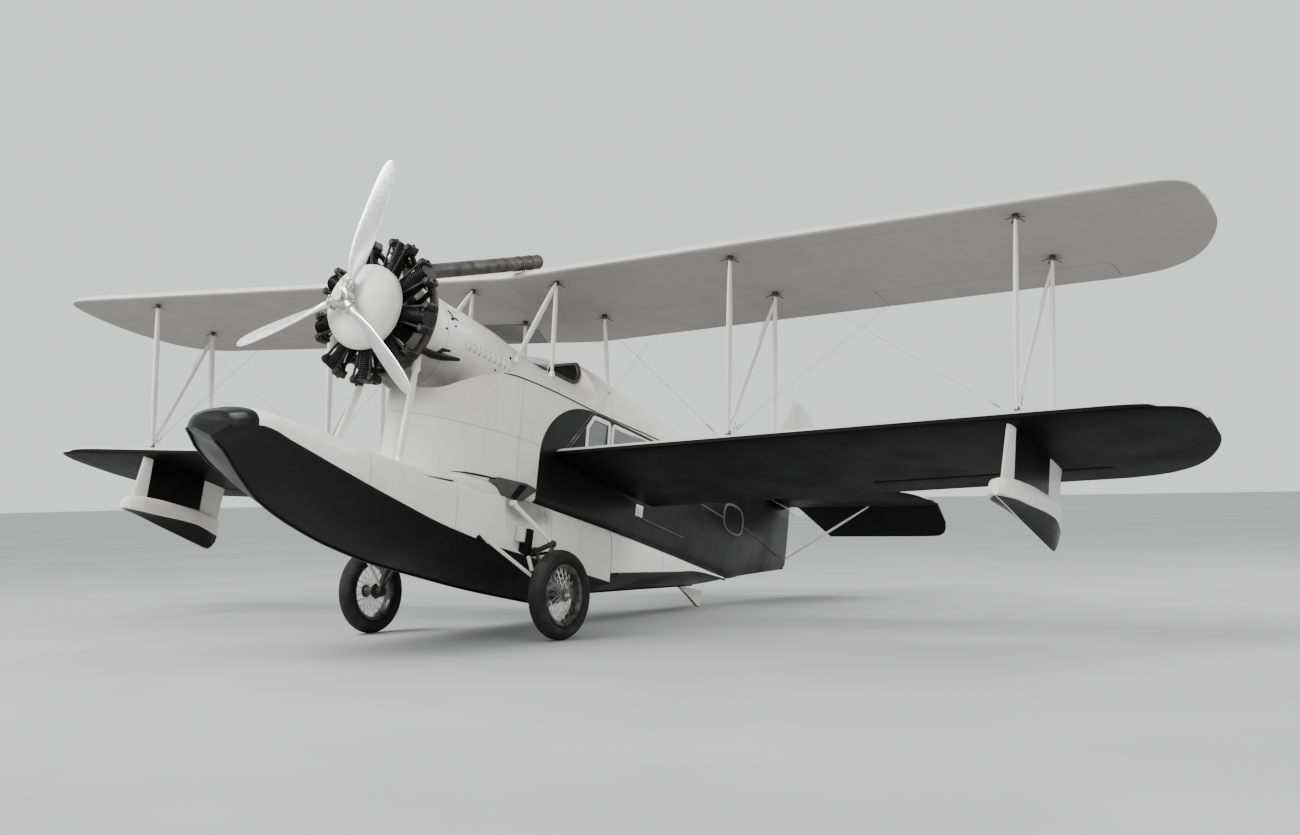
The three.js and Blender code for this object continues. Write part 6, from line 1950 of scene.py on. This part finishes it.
cushion("pilot_seat_cushion", (-0.21, 0.63, -1.635), (0.21, 0.90, -1.515), (0, 0, 0.02), 4,
        ["pilot_seat"])
cushion("pilot_seat_back", (-0.21, 0.91, -1.62), (0.21, 0.99, -1.02), (0, 0.012, 0.006), 4)
for name, low, high, crown, replaces in (
        ("bench_cushion_front", (1.19, -2.12), (1.48, -1.985), (0, 0.008, 0.02), ["cabin_benches"]),
        ("bench_back_front", (1.10, -2.12), (1.17, -1.53), (0, 0.012, 0.008), ()),
        ("bench_cushion_rear", (1.79, -2.12), (2.08, -1.985), (0, 0.008, 0.02), ()),
        ("bench_back_rear", (2.10, -2.12), (2.17, -1.53), (0, 0.012, 0.008), ())):
    cushion(name, (-0.51, *low), (0.51, *high), crown, 3, replaces)
FLOOR = -2.2897
seat_frames = bmesh.new()
block(seat_frames, (-0.15, 0.68, FLOOR), (0.15, 0.90, -1.64), 0.01)
for x in (-0.40, 0.40):
    block(seat_frames, (x - 0.03, 1.11, FLOOR), (x + 0.03, 2.16, -2.125), 0.006)
finished("seat_frames", seat_frames, "painted_steel", gear_grey)

# %% [markdown]
# The cockpit's rim is a padded roll that runs round the opening on the curve of the deck. A dark
# lining hides the thickness of the deck and the roof, so that the well reads as deep shade.

# %% Cockpit trim
def deck_z(x, y):
    """The deck's height at a point."""
    row = fair(BODY, y)
    top = fair(TOP_LINE, y)[1]
    return row[4] + (top - row[4]) * math.sqrt(max(0.0, 1 - (x / row[1]) ** 2))


rim = [Vector((x * 1.012, y, deck_z(x, y) + 0.010)) for x, y in opening(8)]
last, first = rim[-1], rim[0]
for share in (0.2, 0.4, 0.6, 0.8):
    point = last.lerp(first, share)
    rim.append(point + UP * ((deck_z(point.x, 0.25) - first.z) * 0.98))
rim += rim[:2]
shape = bmesh.new()
rings = []
for inset, deep in ((0.0, False), (0.0, True), (0.016, True), (0.016, False)):
    ring = []
    for x, y in opening():
        x, y = x * (1 - inset / 0.43), lerp(y, 0.645, inset / 0.385)
        ring.append(Vector((x, y, -1.29 if deep else deck_z(x, y) - 0.004)))
    rings.append(ring)
loft(shape, rings + rings[:1], closed_ends=False)
finished("cockpit_lining", shape, "black_paint", dark_parts_and_shade)
shape = bmesh.new()
sweep(shape, rim, 0.024, 16)
coaming = finished("cockpit_coaming", shape, "leather", leather)

# %% Instrument board and control wheel
panel_black = two_tone("panel_black", (20, 3), grey(0.012), grey(0.03), (50, 2), 0.35, 0.2,
                       Specular_IOR_Level=0.3)
BOARD = {"y": 0.26, "low": -1.14, "high": -0.875, "half": 0.225}
YOKE, GRIP = Vector((0, 0.38, -1.02)), 0.12
shape = bmesh.new()
block(shape, (-BOARD["half"], BOARD["y"] + 0.0003, BOARD["low"]),
      (BOARD["half"], BOARD["y"] + 0.03, BOARD["high"]), 0.006)
for x, z, r in ((-0.15, -0.935, 0.038), (-0.05, -0.93, 0.044), (0.055, -0.93, 0.044),
                (0.155, -0.935, 0.038), (-0.11, -1.035, 0.030), (0.11, -1.035, 0.030),
                (-0.02, -1.11, 0.018)):
    dial = [(0, 0.0), (r * 0.86, 0.0), (r * 0.9, 0.006), (r, 0.006), (r, -0.006), (0, -0.006)]
    turned(shape, dial, (x, BOARD["y"] + 0.033, z), AFT, 28)
sweep(shape, [(0, BOARD["y"] + 0.02, YOKE.z - 0.03), YOKE], 0.014, 14)
turned(shape, hoop(GRIP, 0.011, 0, 12), YOKE, AFT, 48, closed=True)
for a in (0.2, math.pi - 0.2, -math.pi / 2):
    sweep(shape, [YOKE, YOKE + Vector((0.118 * math.cos(a), 0, 0.118 * math.sin(a)))], 0.008, 10)
finished("instrument_board", shape, "painted_steel", panel_black,
         replaces=["instrument_panel"])

# %% Windscreen
screen_glass = Finish("screen_glass", Base_Color=grey(0.80), IOR=1.45, Transmission_Weight=0.7,
                      Alpha=0.6)
screen_glass.set(Roughness=screen_glass.noise(9, 3) * 0.15 + 0.02)
refinish("windscreen", screen_glass)
SCREEN = {"y": 0.073, "sweep": 0.343, "half": 0.40, "lean": 0.3, "low": -0.95, "high": -0.785}


def screen_point(share, z):
    y = SCREEN["y"] + SCREEN["sweep"] * share * share + SCREEN["lean"] * (z - SCREEN["low"])
    return Vector((SCREEN["half"] * share, y, z))


shape = bmesh.new()
sweep(shape, [screen_point(share, SCREEN["high"]) for share in spread(-1, 1, 21)], 0.006, 10)
for share in (-0.99, 0.99):
    foot = screen_point(share, deck_z(SCREEN["half"], 0.43))
    sweep(shape, [foot, screen_point(share, SCREEN["high"])], 0.006, 10)
finished("windscreen_frame", shape, "light_paint", plain_light)

# %% [markdown]
# ## Stage
# A plain pale floor, a large soft key light from the front and above, two weaker ones from the
# port side, and a pale world that fills the shade, as under a bright overcast sky.

# %% Floor and lights
floor_finish = Finish("floor_pale", Roughness=0.75)
floor_finish.set(Base_Color=floor_finish.mix(floor_finish.patches(0.35, 3, 0.3, 0.7), grey(0.39),
                                             grey(0.44)))
shape = bmesh.new()
bmesh.ops.create_grid(shape, x_segments=1, y_segments=1, size=180)
floor = mesh_object("floor", shape)
floor.data.materials.append(floor_finish.material)

world = bpy.data.worlds.new("studio")
bpy.context.scene.world = world
world.use_nodes = True
sky = world.node_tree.nodes["Background"]
sky.inputs["Color"].default_value = (0.82, 0.83, 0.84, 1)
sky.inputs["Strength"].default_value = 1.3


def lamp(name, at, aim, size, watts):
    """A rectangular soft light that looks at a point."""
    light = bpy.data.objects.new(name, bpy.data.lights.new(name, "AREA"))
    light.data.shape = "RECTANGLE"
    light.data.size, light.data.size_y = size
    light.data.energy = watts
    light.location = at
    light.rotation_euler = (Vector(aim) - Vector(at)).to_track_quat("-Z", "Y").to_euler()
    bpy.context.scene.collection.objects.link(light)
    print(name, "light,", watts, "W")


lamp("key", (-6, -12, 14), (0, 0, 2), (10, 8), 4300)
lamp("rim", (12, 12, 12), (0, 1, 2), (10, 6), 1800)
lamp("fill", (14, -10, 5), (0, -1, 2), (8, 6), 500)
